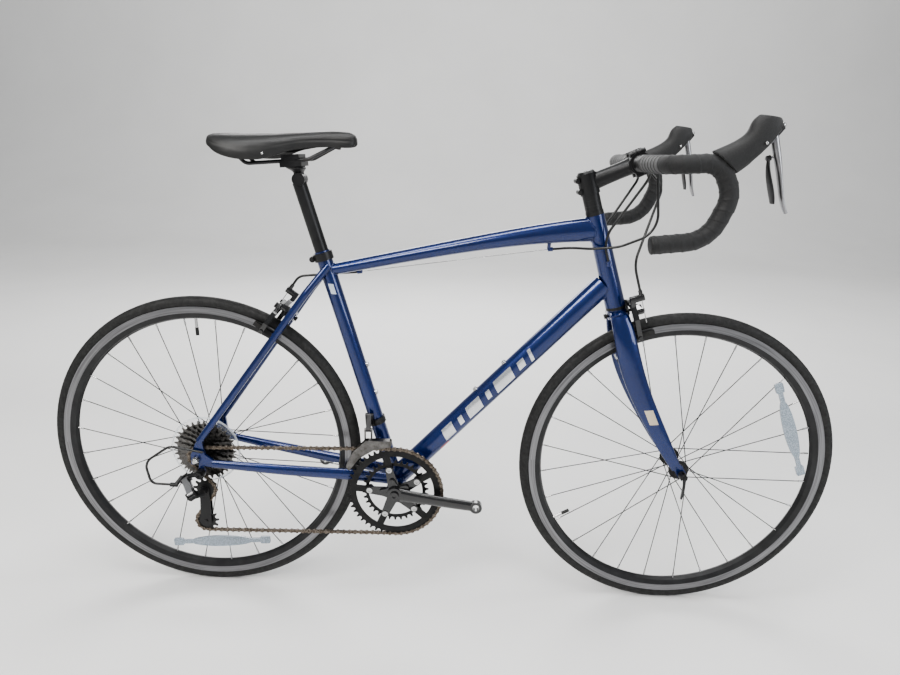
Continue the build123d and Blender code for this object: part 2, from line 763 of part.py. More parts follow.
# Fork: steerer, crown, two curved blades and the ends that take the front axle
with BuildPart() as fork:
    rod(on_steerer(crown_up), on_steerer(cap_start - 3), steerer_radius)
    cone(on_steerer(crown_up - 8), on_steerer(crown_top), 19.5, 19.0)
    oval_loft(
        [
            (on_steerer(crown_up - 5, 0, -31), crown_half_depth, 9.5, lateral),
            (on_steerer(crown_up, 0, 0), crown_half_depth, 12, lateral),
            (on_steerer(crown_up - 5, 0, 31), crown_half_depth, 9.5, lateral),
        ]
    )
    for side in (1, -1):
        oval_loft(
            [
                (on_steerer(crown_up + 2, 0, side * 23), 12, 18, down_steer),
                (on_steerer(crown_up - 31, 0, side * 34), 10.5, 21, down_steer),
                (on_steerer(235, 0, side * 42), 10, 22.5, down_steer),
                (from_bb(531, side * 47.5, 187), 8.5, 18.5, Vector(0.42, 0, -0.9)),
                (from_bb(579, side * 52, 104), 5.5, 12.5, Vector(0.55, 0, -0.83)),
                (from_bb(592, side * 53, 84), 2.7, 10.0, Vector(0.55, 0, -0.83)),
            ]
        )
        inside = side * front_locknuts / 2
        outside = side * front_dropout_out
        capsule_plate(
            [(front_x, tyre_radius, 9.5), (front_x - 9, tyre_radius + 14, 9.5)], inside, outside
        )
    rod(on_steerer(crown_up + 20), on_steerer(cap_start), steerer_radius - 2.2, Mode.SUBTRACT)
    rod(on_steerer(crown_up, -40), on_steerer(crown_up, 40), 3.0 + slip, Mode.SUBTRACT)
    across(front_x, tyre_radius, 80, -80, 4.7, Mode.SUBTRACT)
    slot = [(front_x - 4.7, tyre_radius), (front_x + 4.7, tyre_radius)]
    slot += [(front_x + 4.7, tyre_radius - 20), (front_x - 4.7, tyre_radius - 20)]
    plate(slot, 80, -80, 0, Mode.SUBTRACT)
finish(fork, "fork")

# Crown race, bearing cover, three spacers and the cap on top of the stem
with BuildPart() as headset_spacers:
    bore = steerer_radius + slip
    pipe(on_steerer(crown_top + 0.1), on_steerer(head_low - 0.3), head_radius_low - 0.5, bore)
    pipe(on_steerer(cover_start), on_steerer(spacer_start - 0.1), head_radius_top - 0.3, bore)
    for number in range(3):
        low = spacer_start + number * spacer_stack / 3
        pipe(on_steerer(low), on_steerer(low + spacer_stack / 3 - 0.1), 16.8, bore)
    cone(on_steerer(cap_start), on_steerer(cap_start + 4.5), 17.5, 14.5)
    rod(on_steerer(cap_start + 3), on_steerer(cap_start + 6), 3.0, Mode.SUBTRACT)
finish(headset_spacers, "headset_spacers")

stem_way = steer_fore.rotate(Axis((0, 0, 0), (0, -1, 0)), stem_rise)
stem_up = Vector(-stem_way.Z, 0, stem_way.X)
stem_middle = on_steerer((stem_start + stem_end) / 2)
bar_at = stem_middle + stem_way * stem_length
bar_bore = bar_clamp_radius + slip
stem_half_width = 22.0

# Stem, faceplate and their bolts as separate solids
with BuildPart() as stem:
    rod(on_steerer(stem_start), on_steerer(stem_end), 19.0)
    oval_loft(
        [
            (stem_middle + stem_way * 6, 15, 17, stem_way),
            (stem_middle + stem_way * 45, 14.5, 15.5, stem_way),
            (bar_at - stem_way * 12, 19, 16, stem_way),
        ]
    )
    rod(bar_at + lateral * stem_half_width, bar_at - lateral * stem_half_width, 20.5)
    for side in (1, -1):
        for rise in (1, -1):
            ear = bar_at + lateral * side * 14 + stem_up * rise * 19.8
            rod(ear - stem_way * 13, ear + stem_way * 14, 5.0)
        rod(
            on_steerer((stem_start + stem_end) / 2 + side * 11, -19.5, 11),
            on_steerer((stem_start + stem_end) / 2 + side * 11, -19.5, -11),
            5.2,
        )
    rod(on_steerer(stem_start - 5), on_steerer(stem_end + 5), steerer_radius + slip, Mode.SUBTRACT)
    rod(bar_at + lateral * 40, bar_at - lateral * 40, bar_bore, Mode.SUBTRACT)
    with BuildSketch(Plane(origin=bar_at, x_dir=lateral, z_dir=stem_way)) as split:
        Rectangle(80, 80)
    extrude(split.sketch, amount=1.6, mode=Mode.SUBTRACT)
    with BuildSketch(Plane(origin=on_steerer(stem_start - 5, -14), x_dir=lateral, z_dir=steer_up)) as split:
        with Locations((0, -10)):
            Rectangle(1.6, 26)
    extrude(split.sketch, amount=stem_height + 10, mode=Mode.SUBTRACT)
    for side in (1, -1):
        for rise in (1, -1):
            ear = bar_at + lateral * side * 14 + stem_up * rise * 19.8
            rod(ear - stem_way * 9, ear + stem_way * 15, 2.5 + slip, Mode.SUBTRACT)
            rod(ear - stem_way * 8.5, ear + stem_way * 18, 2.5)
            rod(ear + stem_way * 14.1, ear + stem_way * 18, 4.2)
        pinch = on_steerer((stem_start + stem_end) / 2 + side * 11, -20.5)
        rod(pinch + lateral * 15, pinch - lateral * 15, 2.3 + slip, Mode.SUBTRACT)
        rod(pinch + lateral * 10.5, pinch - lateral * 14.5, 2.3)
        rod(pinch - lateral * 11.1, pinch - lateral * 14.5, 4.0)
finish(stem, "stem")

# Corners of one half of the handlebar, as forward and upward distance from the bottom bracket
bar_corners = [
    (440, 216.0, 569.5),
    (530, 214.5, 580),
    (560, 213.0, 652),
    (537, bar_half_width, 704),
]
bar_bends = [60, 48, 36]
bar_corner_bend = 35.0


def bar_half(side, start_y):
    """Points of the handlebar from its drop end to the flat top at start_y."""
    points = [from_bb(x, side * y, z) for x, y, z in bar_corners]
    points.append(Vector(bar_at.X, side * bar_half_width, bar_at.Z))
    points.append(Vector(bar_at.X, side * start_y, bar_at.Z))
    return points


with BuildPart() as handlebar:
    right = bar_half(-1, 0)[:-1]
    left = bar_half(1, 0)[:-1]
    left.reverse()
    bends = bar_bends + [bar_corner_bend, bar_corner_bend] + bar_bends[::-1]
    routed(right + left, bends, bar_radius, bar_radius - bar_wall)
    sleeve = lateral * 32
    taper = lateral * 52
    cone(bar_at + sleeve, bar_at + taper, bar_clamp_radius, bar_radius)
    cone(bar_at - sleeve, bar_at - taper, bar_clamp_radius, bar_radius)
    rod(bar_at + sleeve, bar_at - sleeve, bar_clamp_radius)
    rod(bar_at + lateral * 60, bar_at - lateral * 60, bar_radius - bar_wall, Mode.SUBTRACT)
finish(handlebar, "handlebar")

tape_start = 55.0


def tape_route(side, radius, bore, mode):
    """Wrap on one half of the handlebar."""
    routed(bar_half(side, tape_start), bar_bends + [bar_corner_bend], radius, bore, mode)


# Bar tape on both halves, with the end plugs as separate solids
with BuildPart() as bar_tape:
    for side in (1, -1):
        tape_route(side, tape_radius, bar_radius + slip, Mode.ADD)
        end, inner_point = bar_half(side, 0)[0], bar_half(side, 0)[1]
        out = (end - inner_point).normalized()
        rod(end + out * 0.1, end + out * 4.5, tape_radius - 0.6)
finish(bar_tape, "bar_tape")

lever_pivot = from_bb(598, 0, 738)
lever_slot = 6.6  # half width of the slot that the brake lever moves in
lever_pin = 2.2
# The grip climbs from the bar and turns up into the horn: middle, half width, half depth, direction
hood_stations = [
    (541, 705, 17.5, 27, Vector(0.62, 0, 0.78)),
    (568, 721.5, 17.0, 22, Vector(0.81, 0, 0.58)),
    (590.5, 745, 16.0, 22, Vector(0.54, 0, 0.84)),
    (600.5, 765.5, 13.5, 24, Vector(0.18, 0, 0.98)),
    (603, 777, 9.0, 16.5, Vector(0.12, 0, 0.99)),
]
# Side outline of the slot, as forward and upward distance from the bottom bracket
slot_outline = [(585, 747), (600, 752), (645, 752), (645, 676), (576, 676), (583, 715)]


# Lever bodies under their rubber hoods, with the pins that the levers turn on
with BuildPart() as lever_hoods:
    for side in (1, -1):
        middle = side * bar_half_width
        oval_loft([(from_bb(x, middle, z), w, d, way) for x, z, w, d, way in hood_stations])
        tape_route(side, tape_radius + slip, 0, Mode.SUBTRACT)
        slot_corners = [(bb_x + x, bb_z + z) for x, z in slot_outline]
        plate(slot_corners, middle + lever_slot, middle - lever_slot, 0, Mode.SUBTRACT)
        across(lever_pivot.X, lever_pivot.Z, middle + 9, middle - 9, lever_pin)
finish(lever_hoods, "lever_hoods")

paddle_pin_way = Vector(-0.955, 0, -0.295)
paddle_pin = 1.8


def paddle_pin_at(side):
    """Where the shift paddle's pin starts, inside the lever blade."""
    return from_bb(625, side * bar_half_width, 718)


def build_brake_lever(side):
    """Brake lever blade with its root on the pivot, and the pin that carries the shift paddle."""
    middle = side * bar_half_width
    root = [(lever_pivot.X, lever_pivot.Z, 6.0), (bb_x + 613, bb_z + 745, 6.0)]
    capsule_plate(root, middle + 5.5, middle - 5.5)
    oval_loft(
        [
            (from_bb(614, middle, 750), 5.6, 5.0, Vector(0.25, 0, -1)),
            (from_bb(621, side * 213, 722), 7.2, 5.8, Vector(0.27, 0, -0.96)),
            (from_bb(630.5, side * 215.5, 684), 8.0, 3.8, Vector(0.22, 0, -0.98)),
            (from_bb(637.5, side * 218.5, 652), 7.0, 3.2, Vector(0.28, 0, -0.96)),
            (from_bb(646, side * 222, 629), 5.4, 2.6, Vector(0.42, 0, -0.9)),
        ]
    )
    rod(paddle_pin_at(side), paddle_pin_at(side) + paddle_pin_way * 21, paddle_pin)
    across(lever_pivot.X, lever_pivot.Z, middle + 9, middle - 9, lever_pin + run, Mode.SUBTRACT)


def build_paddle(side):
    """Shift paddle hanging behind the brake lever."""
    hub = paddle_pin_at(side) + paddle_pin_way * 13
    rod(hub, hub + paddle_pin_way * 6, 4.4)
    oval_loft(
        [
            (hub + Vector(-2.5, side * 0.3, -2), 3.6, 2.4, Vector(0.1, 0, -1)),
            (from_bb(611.5, side * 213.5, 694), 7.4, 2.4, Vector(0.22, 0, -0.97)),
            (from_bb(618, side * 216, 668), 11.0, 2.6, Vector(0.22, 0, -0.97)),
            (from_bb(624, side * 218, 643), 8.0, 1.6, Vector(0.22, 0, -0.97)),
        ]
    )
    rod(hub - paddle_pin_way * 4, hub + paddle_pin_way * 12, paddle_pin + run, Mode.SUBTRACT)


with BuildPart() as brake_lever_right:
    build_brake_lever(-1)
finish(brake_lever_right, "brake_lever_right")

with BuildPart() as brake_lever_left:
    build_brake_lever(1)
finish(brake_lever_left, "brake_lever_left")

with BuildPart() as shift_paddle_right:
    build_paddle(-1)
finish(shift_paddle_right, "shift_paddle_right")

with BuildPart() as shift_paddle_left:
    build_paddle(1)
finish(shift_paddle_left, "shift_paddle_left")

# ======== Brakes ========
front_brake = Plane(origin=on_steerer(crown_up, crown_half_depth + 1.3), x_dir=lateral, z_dir=steer_fore)
rear_brake = Plane(origin=bridge_at + stay_out * (bridge_face + 0.3), x_dir=lateral * -1, z_dir=stay_out)
offset_pivot = (18.0, 12.0)
c_arm_layer = (4.5, 14.0)
y_arm_layer = (14.5, 24.0)
cable_side = -36.0
cable_depth = 27.0
pad_low = -53.2
pad_gap = 1.5
arm_bore = 3.0 + run


def local(place, x, y, z):
    """Point given in a brake's own plane."""
    return place.from_local_coords(Vector(x, y, z))


def layer(place, places, low, high, mode=Mode.ADD):
    """Stretched disc in a brake's plane, between two depths."""
    with BuildSketch(place.offset(low)) as outline:
        for x, y, radius in places:
            with Locations((x, y)):
                Circle(radius)
        make_hull()
    extrude(outline.sketch, amount=high - low, mode=mode)


def build_shoe(place, side, depth):
    """Brake pad with its bolt, on the left (1) or right (-1) of a brake's plane."""
    inner = rim_width / 2 + pad_gap
    with BuildSketch(place.offset(-2)) as block:
        with Locations((side * (inner + 3.6), pad_low)):
            Rectangle(7.2, 9.0)
    extrude(block.sketch, amount=44)
    rod(local(place, side * (inner + 7.25), pad_low, depth), local(place, side * 36.5, pad_low, depth), 2.4)
    rod(local(place, side * 36.1, pad_low, depth), local(place, side * 39.5, pad_low, depth), 4.2)


def build_brake_mount(place, behind):
    """Centre bolt with the backing plate and the offset pivot."""
    layer(place, [(0, 0, 9), (offset_pivot[0], offset_pivot[1], 8)], 0, 4)
    rod(local(place, 0, 0, -behind), local(place, 0, 0, y_arm_layer[1] + 0.5), 3.0)
    rod(local(place, 0, 0, y_arm_layer[1] + 0.4), local(place, 0, 0, y_arm_layer[1] + 6), 6.0)
    rod(local(place, *offset_pivot, 3), local(place, *offset_pivot, c_arm_layer[1] + 0.4), 3.0)
    cap_low = local(place, *offset_pivot, c_arm_layer[1] + 0.3)
    rod(cap_low, local(place, *offset_pivot, c_arm_layer[1] + 3), 5.0)
    rod(local(place, 0, 0, -behind - 5), local(place, 0, 0, -behind), 5.0)


def build_y_arm(place):
    """Arm on the centre bolt: pad on the left, cable anchor on the right."""
    low, high = y_arm_layer
    layer(place, [(0, 0, 9), (24, -13, 7)], low, high)
    layer(place, [(24, -13, 7), (31, -34, 6)], low, high)
    layer(place, [(31, -34, 6), (30, pad_low, 6)], low, high)
    layer(place, [(0, 0, 8), (cable_side, 2, 5.5)], low, high)
    rod(local(place, cable_side, 2, high), local(place, cable_side, 2, high + 1), 5.0)
    rod(local(place, cable_side + 5, 2, high), local(place, cable_side + 5, 2, high + 5), 3.6)
    rod(local(place, 0, 0, low - 1), local(place, 0, 0, high + 1), arm_bore, Mode.SUBTRACT)
    depth = (low + high) / 2
    rod(local(place, 20, pad_low, depth), local(place, 45, pad_low, depth), 2.4 + slip, Mode.SUBTRACT)
    build_shoe(place, 1, depth)


def build_c_arm(place):
    """Arm on the offset pivot: pad on the right, barrel adjuster for the cable above it."""
    low, high = c_arm_layer
    layer(place, [(*offset_pivot, 7), (-6, 17, 6.5)], low, high)
    layer(place, [(-6, 17, 6.5), (-30, 12, 6)], low, high)
    layer(place, [(-30, 12, 6), (-36, -12, 6)], low, high)
    layer(place, [(-36, -12, 6), (-32, -34, 6)], low, high)
    layer(place, [(-32, -34, 6), (-30, pad_low, 6)], low, high)
    layer(place, [(-30, 14, 5.5), (cable_side, 30, 5.5)], low, high)
    layer(place, [(cable_side, 28, 5.5), (cable_side, 31, 5.5)], low, cable_depth + 5.5)
    rod(local(place, cable_side, 30, cable_depth), local(place, cable_side, 45, cable_depth), 4.0)
    bore_foot = local(place, cable_side, 10, cable_depth)
    rod(bore_foot, local(place, cable_side, 60, cable_depth), 1.6, Mode.SUBTRACT)
    rod(local(place, *offset_pivot, low - 1), local(place, *offset_pivot, high + 1), arm_bore, Mode.SUBTRACT)
    depth = (low + high) / 2
    rod(local(place, -20, pad_low, depth), local(place, -45, pad_low, depth), 2.4 + slip, Mode.SUBTRACT)
    build_shoe(place, -1, depth)


with BuildPart() as front_brake_mount:
    build_brake_mount(front_brake, 2 * crown_half_depth + 4)
finish(front_brake_mount, "front_brake_mount")

with BuildPart() as rear_brake_mount:
    build_brake_mount(rear_brake, bridge_face + 9)
finish(rear_brake_mount, "rear_brake_mount")

with BuildPart() as front_brake_y_arm:
    build_y_arm(front_brake)
finish(front_brake_y_arm, "front_brake_y_arm")

with BuildPart() as front_brake_c_arm:
    build_c_arm(front_brake)
finish(front_brake_c_arm, "front_brake_c_arm")

with BuildPart() as rear_brake_y_arm:
    build_y_arm(rear_brake)
finish(rear_brake_y_arm, "rear_brake_y_arm")

with BuildPart() as rear_brake_c_arm:
    build_c_arm(rear_brake)
finish(rear_brake_c_arm, "rear_brake_c_arm")

# ======== Drivetrain ========
roller_radius = 3.9
tooth_height = 3.3
tooth_tip = 1.1


def pitch_radius(teeth):
    """Radius of the circle on which the chain's pins lie."""
    return pitch / 2 / sin(pi / teeth)


def toothed_ring(centre, y, thick, teeth, phase, bore, mode=Mode.ADD):
    """Sprocket square to Y with a gap between teeth at the phase angle."""
    radius = pitch_radius(teeth)
    wide = pi * (radius + tooth_height) / teeth - tooth_tip / 2
    low, high = 0.3, tooth_height + 0.4
    root = roller_radius + 0.45
    gap = [(low, -root), (high, -wide), (high, wide), (low, root)]
    face = Plane(origin=(centre.X, y + thick / 2, centre.Z), x_dir=(1, 0, 0), z_dir=(0, -1, 0))
    with BuildSketch(face) as disc:
        Circle(radius + tooth_height)
        with PolarLocations(radius, teeth, start_angle=phase):
            Circle(roller_radius + 0.3, mode=Mode.SUBTRACT)
        with PolarLocations(radius, teeth, start_angle=phase):
            Polygon(*gap, align=None, mode=Mode.SUBTRACT)
        if bore:
            Circle(bore, mode=Mode.SUBTRACT)
    extrude(disc.sketch, amount=thick, mode=mode)


guide_at = from_bb(-408, small_cog_y, -3)
cage_length = 76.0


def chain_route(cage_angle):
    """Wheels that the chain passes, as (centre, pitch radius, turning sense) in its direction of travel."""
    tension = (
        guide_at.X + cage_length * sin(radians(cage_angle)),
        guide_at.Z - cage_length * cos(radians(cage_angle)),
    )
    return [
        ((bb_x, bb_z), pitch_radius(ring_teeth), 1),
        ((rear_x, tyre_radius), pitch_radius(cog_teeth[0]), 1),
        ((guide_at.X, guide_at.Z), pitch_radius(pulley_teeth), -1),
        (tension, pitch_radius(pulley_teeth), 1),
    ]


def chain_pieces(route):
    """Straight runs and arcs of the chain, each as (length, function from distance to point)."""
    leave = []
    for number, (here, radius, sense) in enumerate(route):
        there, next_radius, next_sense = route[(number + 1) % len(route)]
        reach = hypot(there[0] - here[0], there[1] - here[1])
        heading = atan2(there[1] - here[1], there[0] - here[0])
        heading += asin((radius * sense - next_radius * next_sense) / reach)
        normal = (sin(heading), -cos(heading))
        start = (here[0] + radius * sense * normal[0], here[1] + radius * sense * normal[1])
        next_offset = next_radius * next_sense
        end = (there[0] + next_offset * normal[0], there[1] + next_offset * normal[1])
        leave.append((start, end))
    pieces = []
    for number, (start, end) in enumerate(leave):
        length = hypot(end[0] - start[0], end[1] - start[1])
        pieces.append(("run", length, start, end))
        centre, radius, sense = route[(number + 1) % len(route)]
        next_start = leave[(number + 1) % len(route)][0]
        first = atan2(end[1] - centre[1], end[0] - centre[0])
        last = atan2(next_start[1] - centre[1], next_start[0] - centre[0])
        sweep_angle = (last - first) * sense % (2 * pi)
        pieces.append(("arc", radius * sweep_angle, (centre, radius, sense), first))
    return pieces


def chain_point(pieces, distance):
    """Point of the chain at a distance from where it leaves the chainring."""
    distance %= sum(piece[1] for piece in pieces)
    for kind, length, start, end in pieces:
        if distance <= length:
            if kind == "run":
                share = distance / length
                return (start[0] + (end[0] - start[0]) * share, start[1] + (end[1] - start[1]) * share)
            centre, radius, sense = start
            angle = end + sense * distance / radius
            return (centre[0] + radius * cos(angle), centre[1] + radius * sin(angle))
        distance -= length
    return chain_point(pieces, 0)


def chain_pins(cage_angle):
    """Pin positions one pitch apart, and how far the last falls short of the first."""
    pieces = chain_pieces(chain_route(cage_angle))
    total = sum(piece[1] for piece in pieces)
    distances = [0.0]
    for _ in range(chain_links):
        here = chain_point(pieces, distances[-1])
        low, high = pitch * 0.98, pitch * 1.06
        for _ in range(40):
            middle = (low + high) / 2
            there = chain_point(pieces, distances[-1] + middle)
            if hypot(there[0] - here[0], there[1] - here[1]) < pitch:
                low = middle
            else:
                high = middle
        distances.append(distances[-1] + middle)
    return [chain_point(pieces, d) for d in distances[:-1]], total - distances[-1]


# The cage turns until a whole number of links closes the loop
slack, taut = -60.0, 60.0
for _ in range(40):
    cage_angle = (slack + taut) / 2
    if chain_pins(cage_angle)[1] > 0:
        slack = cage_angle
    else:
        taut = cage_angle
pins_flat, _ = chain_pins(cage_angle)
tension_at = Vector(
    guide_at.X + cage_length * sin(radians(cage_angle)),
    small_cog_y,
    guide_at.Z - cage_length * cos(radians(cage_angle)),
)


def pin_y(x):
    """Chain line: level on the chainring and on the cog, straight between them."""
    share = min(max((bb_x - 40 - x) / (bb_x - 40 - (rear_x + 40)), 0), 1)
    return ring_y + (small_cog_y - ring_y) * share


pins = [Vector(x, pin_y(x), z) for x, z in pins_flat]


def on_ring(centre, radius, teeth):
    """Phase of a wheel, from the pin in the middle of the chain's wrap."""
    near = [pin for pin in pins if abs(hypot(pin.X - centre.X, pin.Z - centre.Z) - radius) < 0.02]
    middle = near[len(near) // 2]
    return degrees(atan2(middle.Z - centre.Z, middle.X - centre.X))


inner_plate_in, inner_plate_out = 1.25, 2.05
outer_plate_in, outer_plate_out = 2.25, 3.05
pin_radius = 1.75

# One inner link: two plates on two bushings
with BuildPart() as inner_link:
    for low, high in ((inner_plate_in, inner_plate_out), (-inner_plate_out, -inner_plate_in)):
        with BuildSketch(Plane.XY.offset(low)) as outline:
            with Locations((-pitch / 2, 0), (pitch / 2, 0)):
                Circle(4.0)
            Rectangle(pitch, 5.0)
        extrude(outline.sketch, amount=high - low)
    with BuildSketch(Plane.XY.offset(-inner_plate_out)) as rollers:
        with Locations((-pitch / 2, 0), (pitch / 2, 0)):
            Circle(roller_radius - 0.05)
    extrude(rollers.sketch, amount=2 * inner_plate_out)
    with BuildSketch(Plane.XY.offset(-4)) as bores:
        with Locations((-pitch / 2, 0), (pitch / 2, 0)):
            Circle(pin_radius + 0.15)
    extrude(bores.sketch, amount=8, mode=Mode.SUBTRACT)

# One outer link: two plates on two pins
with BuildPart() as outer_link:
    for low, high in ((outer_plate_in, outer_plate_out), (-outer_plate_out, -outer_plate_in)):
        with BuildSketch(Plane.XY.offset(low)) as outline:
            with Locations((-pitch / 2, 0), (pitch / 2, 0)):
                Circle(4.0)
            Rectangle(pitch, 5.0)
        extrude(outline.sketch, amount=high - low)
    with BuildSketch(Plane.XY.offset(-outer_plate_out - 0.3)) as ends:
        with Locations((-pitch / 2, 0), (pitch / 2, 0)):
            Circle(pin_radius)
    extrude(ends.sketch, amount=2 * outer_plate_out + 0.6)

inner_places, outer_places = [], []
for number, pin in enumerate(pins):
    following = pins[(number + 1) % chain_links]
    along = (following - pin).normalized()
    flat = (lateral - along * along.dot(lateral)).normalized()
    seat = Plane(origin=(pin + following) / 2, x_dir=along, z_dir=flat)
    (inner_places if number % 2 == 0 else outer_places).append(seat.location)

# Chain: every link is its own solid
with BuildPart() as chain:
    with Locations(*inner_places):
        add(inner_link.part)
    with Locations(*outer_places):
        add(outer_link.part)
finish(chain, "chain")

ring_centre = Vector(bb_x, 0, bb_z)
bolt_radius = bolt_circle / 2
bolt_angles = [crank_angle + 360 / bolt_count * (number + 0.5) for number in range(bolt_count)]
bolt_places = []
for angle in bolt_angles:
    bolt_places.append((bb_x + bolt_radius * cos(radians(angle)), bb_z + bolt_radius * sin(radians(angle))))


def ring_with_tabs(y, teeth, phase, bore):
    """Chainring with an open middle and five tabs for its bolts."""
    face = Plane(origin=(bb_x, y + ring_thick / 2, bb_z), x_dir=(1, 0, 0), z_dir=(0, -1, 0))
    toothed_ring(ring_centre, y, ring_thick, teeth, phase, bore)
    with BuildSketch(face) as tabs:
        for angle in bolt_angles:
            with PolarLocations(bolt_radius, 1, start_angle=angle):
                Circle(8.0)
            with PolarLocations((bolt_radius + bore) / 2 + 1.5, 1, start_angle=angle):
                Rectangle(bore - bolt_radius + 3, 15)
        with PolarLocations(bolt_radius, bolt_count, start_angle=bolt_angles[0]):
            Circle(5.0 + slip, mode=Mode.SUBTRACT)
    extrude(tabs.sketch, amount=ring_thick)


# Two chainrings, their spacers and the five bolts that hold them to the spider
with BuildPart() as chainrings:
    ring_with_tabs(ring_y, ring_teeth, on_ring(ring_centre, pitch_radius(ring_teeth), ring_teeth), 84.0)
    ring_with_tabs(inner_ring_y, inner_ring_teeth, 0, 58.5)
    for x, z in bolt_places:
        across(x, z, inner_ring_y - 1.05, ring_y + 1.05, 7.5)
        across(x, z, inner_ring_y - 2, ring_y + 2, 5.0 + slip, Mode.SUBTRACT)
        across(x, z, inner_ring_y + 3, -52.2, 5.0)
        across(x, z, inner_ring_y + 1.05, inner_ring_y + 3, 6.4)
        across(x, z, -50.2, -52.2, 6.2)
        across(x, z, -51.2, -53, 3.0, Mode.SUBTRACT)
finish(chainrings, "chainrings")

spider_in, spider_out = -47.1, -50.1
arm_way = Vector(cos(radians(crank_angle)), 0, sin(radians(crank_angle)))


def build_crank_arm(side, way):
    """Crank arm from the square spindle end to the pedal eye."""
    oval_loft(
        [
            (bb_at + lateral * side * 56 + way * 8, 6.5, 15.5, way),
            (bb_at + lateral * side * 62 + way * 70, 6.5, 12.5, way),
            (bb_at + lateral * side * 69 + way * 150, 6.3, 11.5, way),
            (bb_at + lateral * side * 70.5 + way * 168, 6.0, 11.0, way),
        ]
    )
    eye = bb_at + way * crank_length
    across(eye.X, eye.Z, side * 64, side * 76.5, 13.0)
    across(bb_x, bb_z, side * 42, side * 62, 16.5)
    across(eye.X, eye.Z, side * 60, side * 80, pedal_thread_radius, Mode.SUBTRACT)
    with BuildSketch(Plane(origin=bb_at, x_dir=way, z_dir=lateral * side)) as square:
        Rectangle(12.8, 12.8)
    extrude(square.sketch, amount=80, mode=Mode.SUBTRACT)


def build_crank_bolt(side):
    """Bolt that holds a crank arm on the spindle."""
    across(bb_x, bb_z, side * 62.1, side * 66.5, 9.0)
    across(bb_x, bb_z, side * 64.5, side * 68, 4.0, Mode.SUBTRACT)


# Right crank arm with its five-armed spider, and its bolt as a separate solid
with BuildPart() as crank_right:
    build_crank_arm(-1, arm_way)
    for x, z in bolt_places:
        capsule_plate([(bb_x, bb_z, 13.0), (x, z, 8.2)], spider_in, spider_out)
        capsule_plate([(bb_x, bb_z, 15.0), ((bb_x + x) / 2, (bb_z + z) / 2, 6.5)], spider_out + 0.5, -55)
        across(x, z, -40, -60, 5.0 + slip, Mode.SUBTRACT)
        across(x, z, spider_out - 0.05, -60, 6.6, Mode.SUBTRACT)
    with BuildSketch(Plane(origin=bb_at, x_dir=arm_way, z_dir=lateral * -1)) as square:
        Rectangle(12.8, 12.8)
    extrude(square.sketch, amount=62, mode=Mode.SUBTRACT)
    build_crank_bolt(-1)
finish(crank_right, "crank_right")

# Left crank arm with the spindle and the left bolt as separate solids
with BuildPart() as crank_left:
    build_crank_arm(1, arm_way * -1)
    build_crank_bolt(1)
    across(bb_x, bb_z, 40, -40, spindle_radius)
    with BuildSketch(Plane(origin=bb_at + lateral * 40, x_dir=arm_way, z_dir=lateral)) as square:
        Rectangle(12.7, 12.7)
    extrude(square.sketch, amount=20)
    with BuildSketch(Plane(origin=bb_at - lateral * 40, x_dir=arm_way, z_dir=lateral * -1)) as square:
        Rectangle(12.7, 12.7)
    extrude(square.sketch, amount=20)
finish(crank_left, "crank_left")

freehub_radius = 16.9
cog_twist = 7.0  # degrees that each larger cog's teeth are turned on from the one before
# Freehub body, eight cogs, their spacers and the lockring
with BuildPart() as cassette:
    for number, teeth in enumerate(cog_teeth):
        y = small_cog_y + number * cog_spacing
        radius = pitch_radius(teeth)
        phase = on_ring(rear_axle_at, radius, teeth) if number == 0 else cog_twist * number
        toothed_ring(rear_axle_at, y, cog_thick, teeth, phase, freehub_radius + slip)
        if number < len(cog_teeth) - 1:
            low = y + cog_thick / 2 + 0.05
            high = y + cog_spacing - cog_thick / 2 - 0.05
            turned(
                rear_axle_at,
                [(low, freehub_radius + slip), (high, freehub_radius + slip), (high, 18.4), (low, 18.4)],
            )
    high = small_cog_y + 7 * cog_spacing + cog_thick / 2 + 2
    low = small_cog_y - cog_thick / 2
    bore = rear_axle_radius + run
    turned(
        rear_axle_at,
        [(low, bore), (high, bore), (high, freehub_radius), (low, freehub_radius)],
    )
    turned(rear_axle_at, [(low - 2, 11), (low - 0.05, 11), (low - 0.05, 15.5), (low - 2, 15.5)])
finish(cassette, "cassette")

# ======== Rear derailleur ========
shift_way = Vector(0, 0.8, -0.6)  # the way the cage travels towards the wheel
link_way = Vector(0.6, -0.48, -0.64)
link_axis = Vector(0.8, 0.36, 0.48)
link_length = 42.0
link_start = -20.0
link_gap = 15.0
link_bar = link_way * cos(radians(link_start)) + shift_way * sin(radians(link_start))
outer_hinge = from_bb(-446, -70, 24)
inner_hinge = outer_hinge + shift_way * link_gap
outer_end = outer_hinge + link_bar * link_length
inner_end = inner_hinge + link_bar * link_length
link_half = 6.0
link_pin = 2.0


def link_layer(places, low, high, mode=Mode.ADD):
    """Stretched disc square to the derailleur's link axis, from (point, radius)."""
    face = Plane(origin=outer_hinge, x_dir=shift_way, z_dir=link_axis)
    with BuildSketch(face.offset(low)) as outline:
        for point, radius in places:
            flat = face.to_local_coords(point)
            with Locations((flat.X, flat.Y)):
                Circle(radius)
        make_hull()
    extrude(outline.sketch, amount=high - low, mode=mode)


def build_link(start, end):
    """Parallelogram link with a bore at each end."""
    link_layer([(start, 3.8), (end, 3.8)], -link_half, link_half)
    for point in (start, end):
        rod(point - link_axis * 10, point + link_axis * 10, link_pin + run, Mode.SUBTRACT)


def link_pins(*points):
    """Pins that the links turn on."""
    for point in points:
        rod(point - link_axis * (link_half + 2), point + link_axis * (link_half + 2), link_pin)


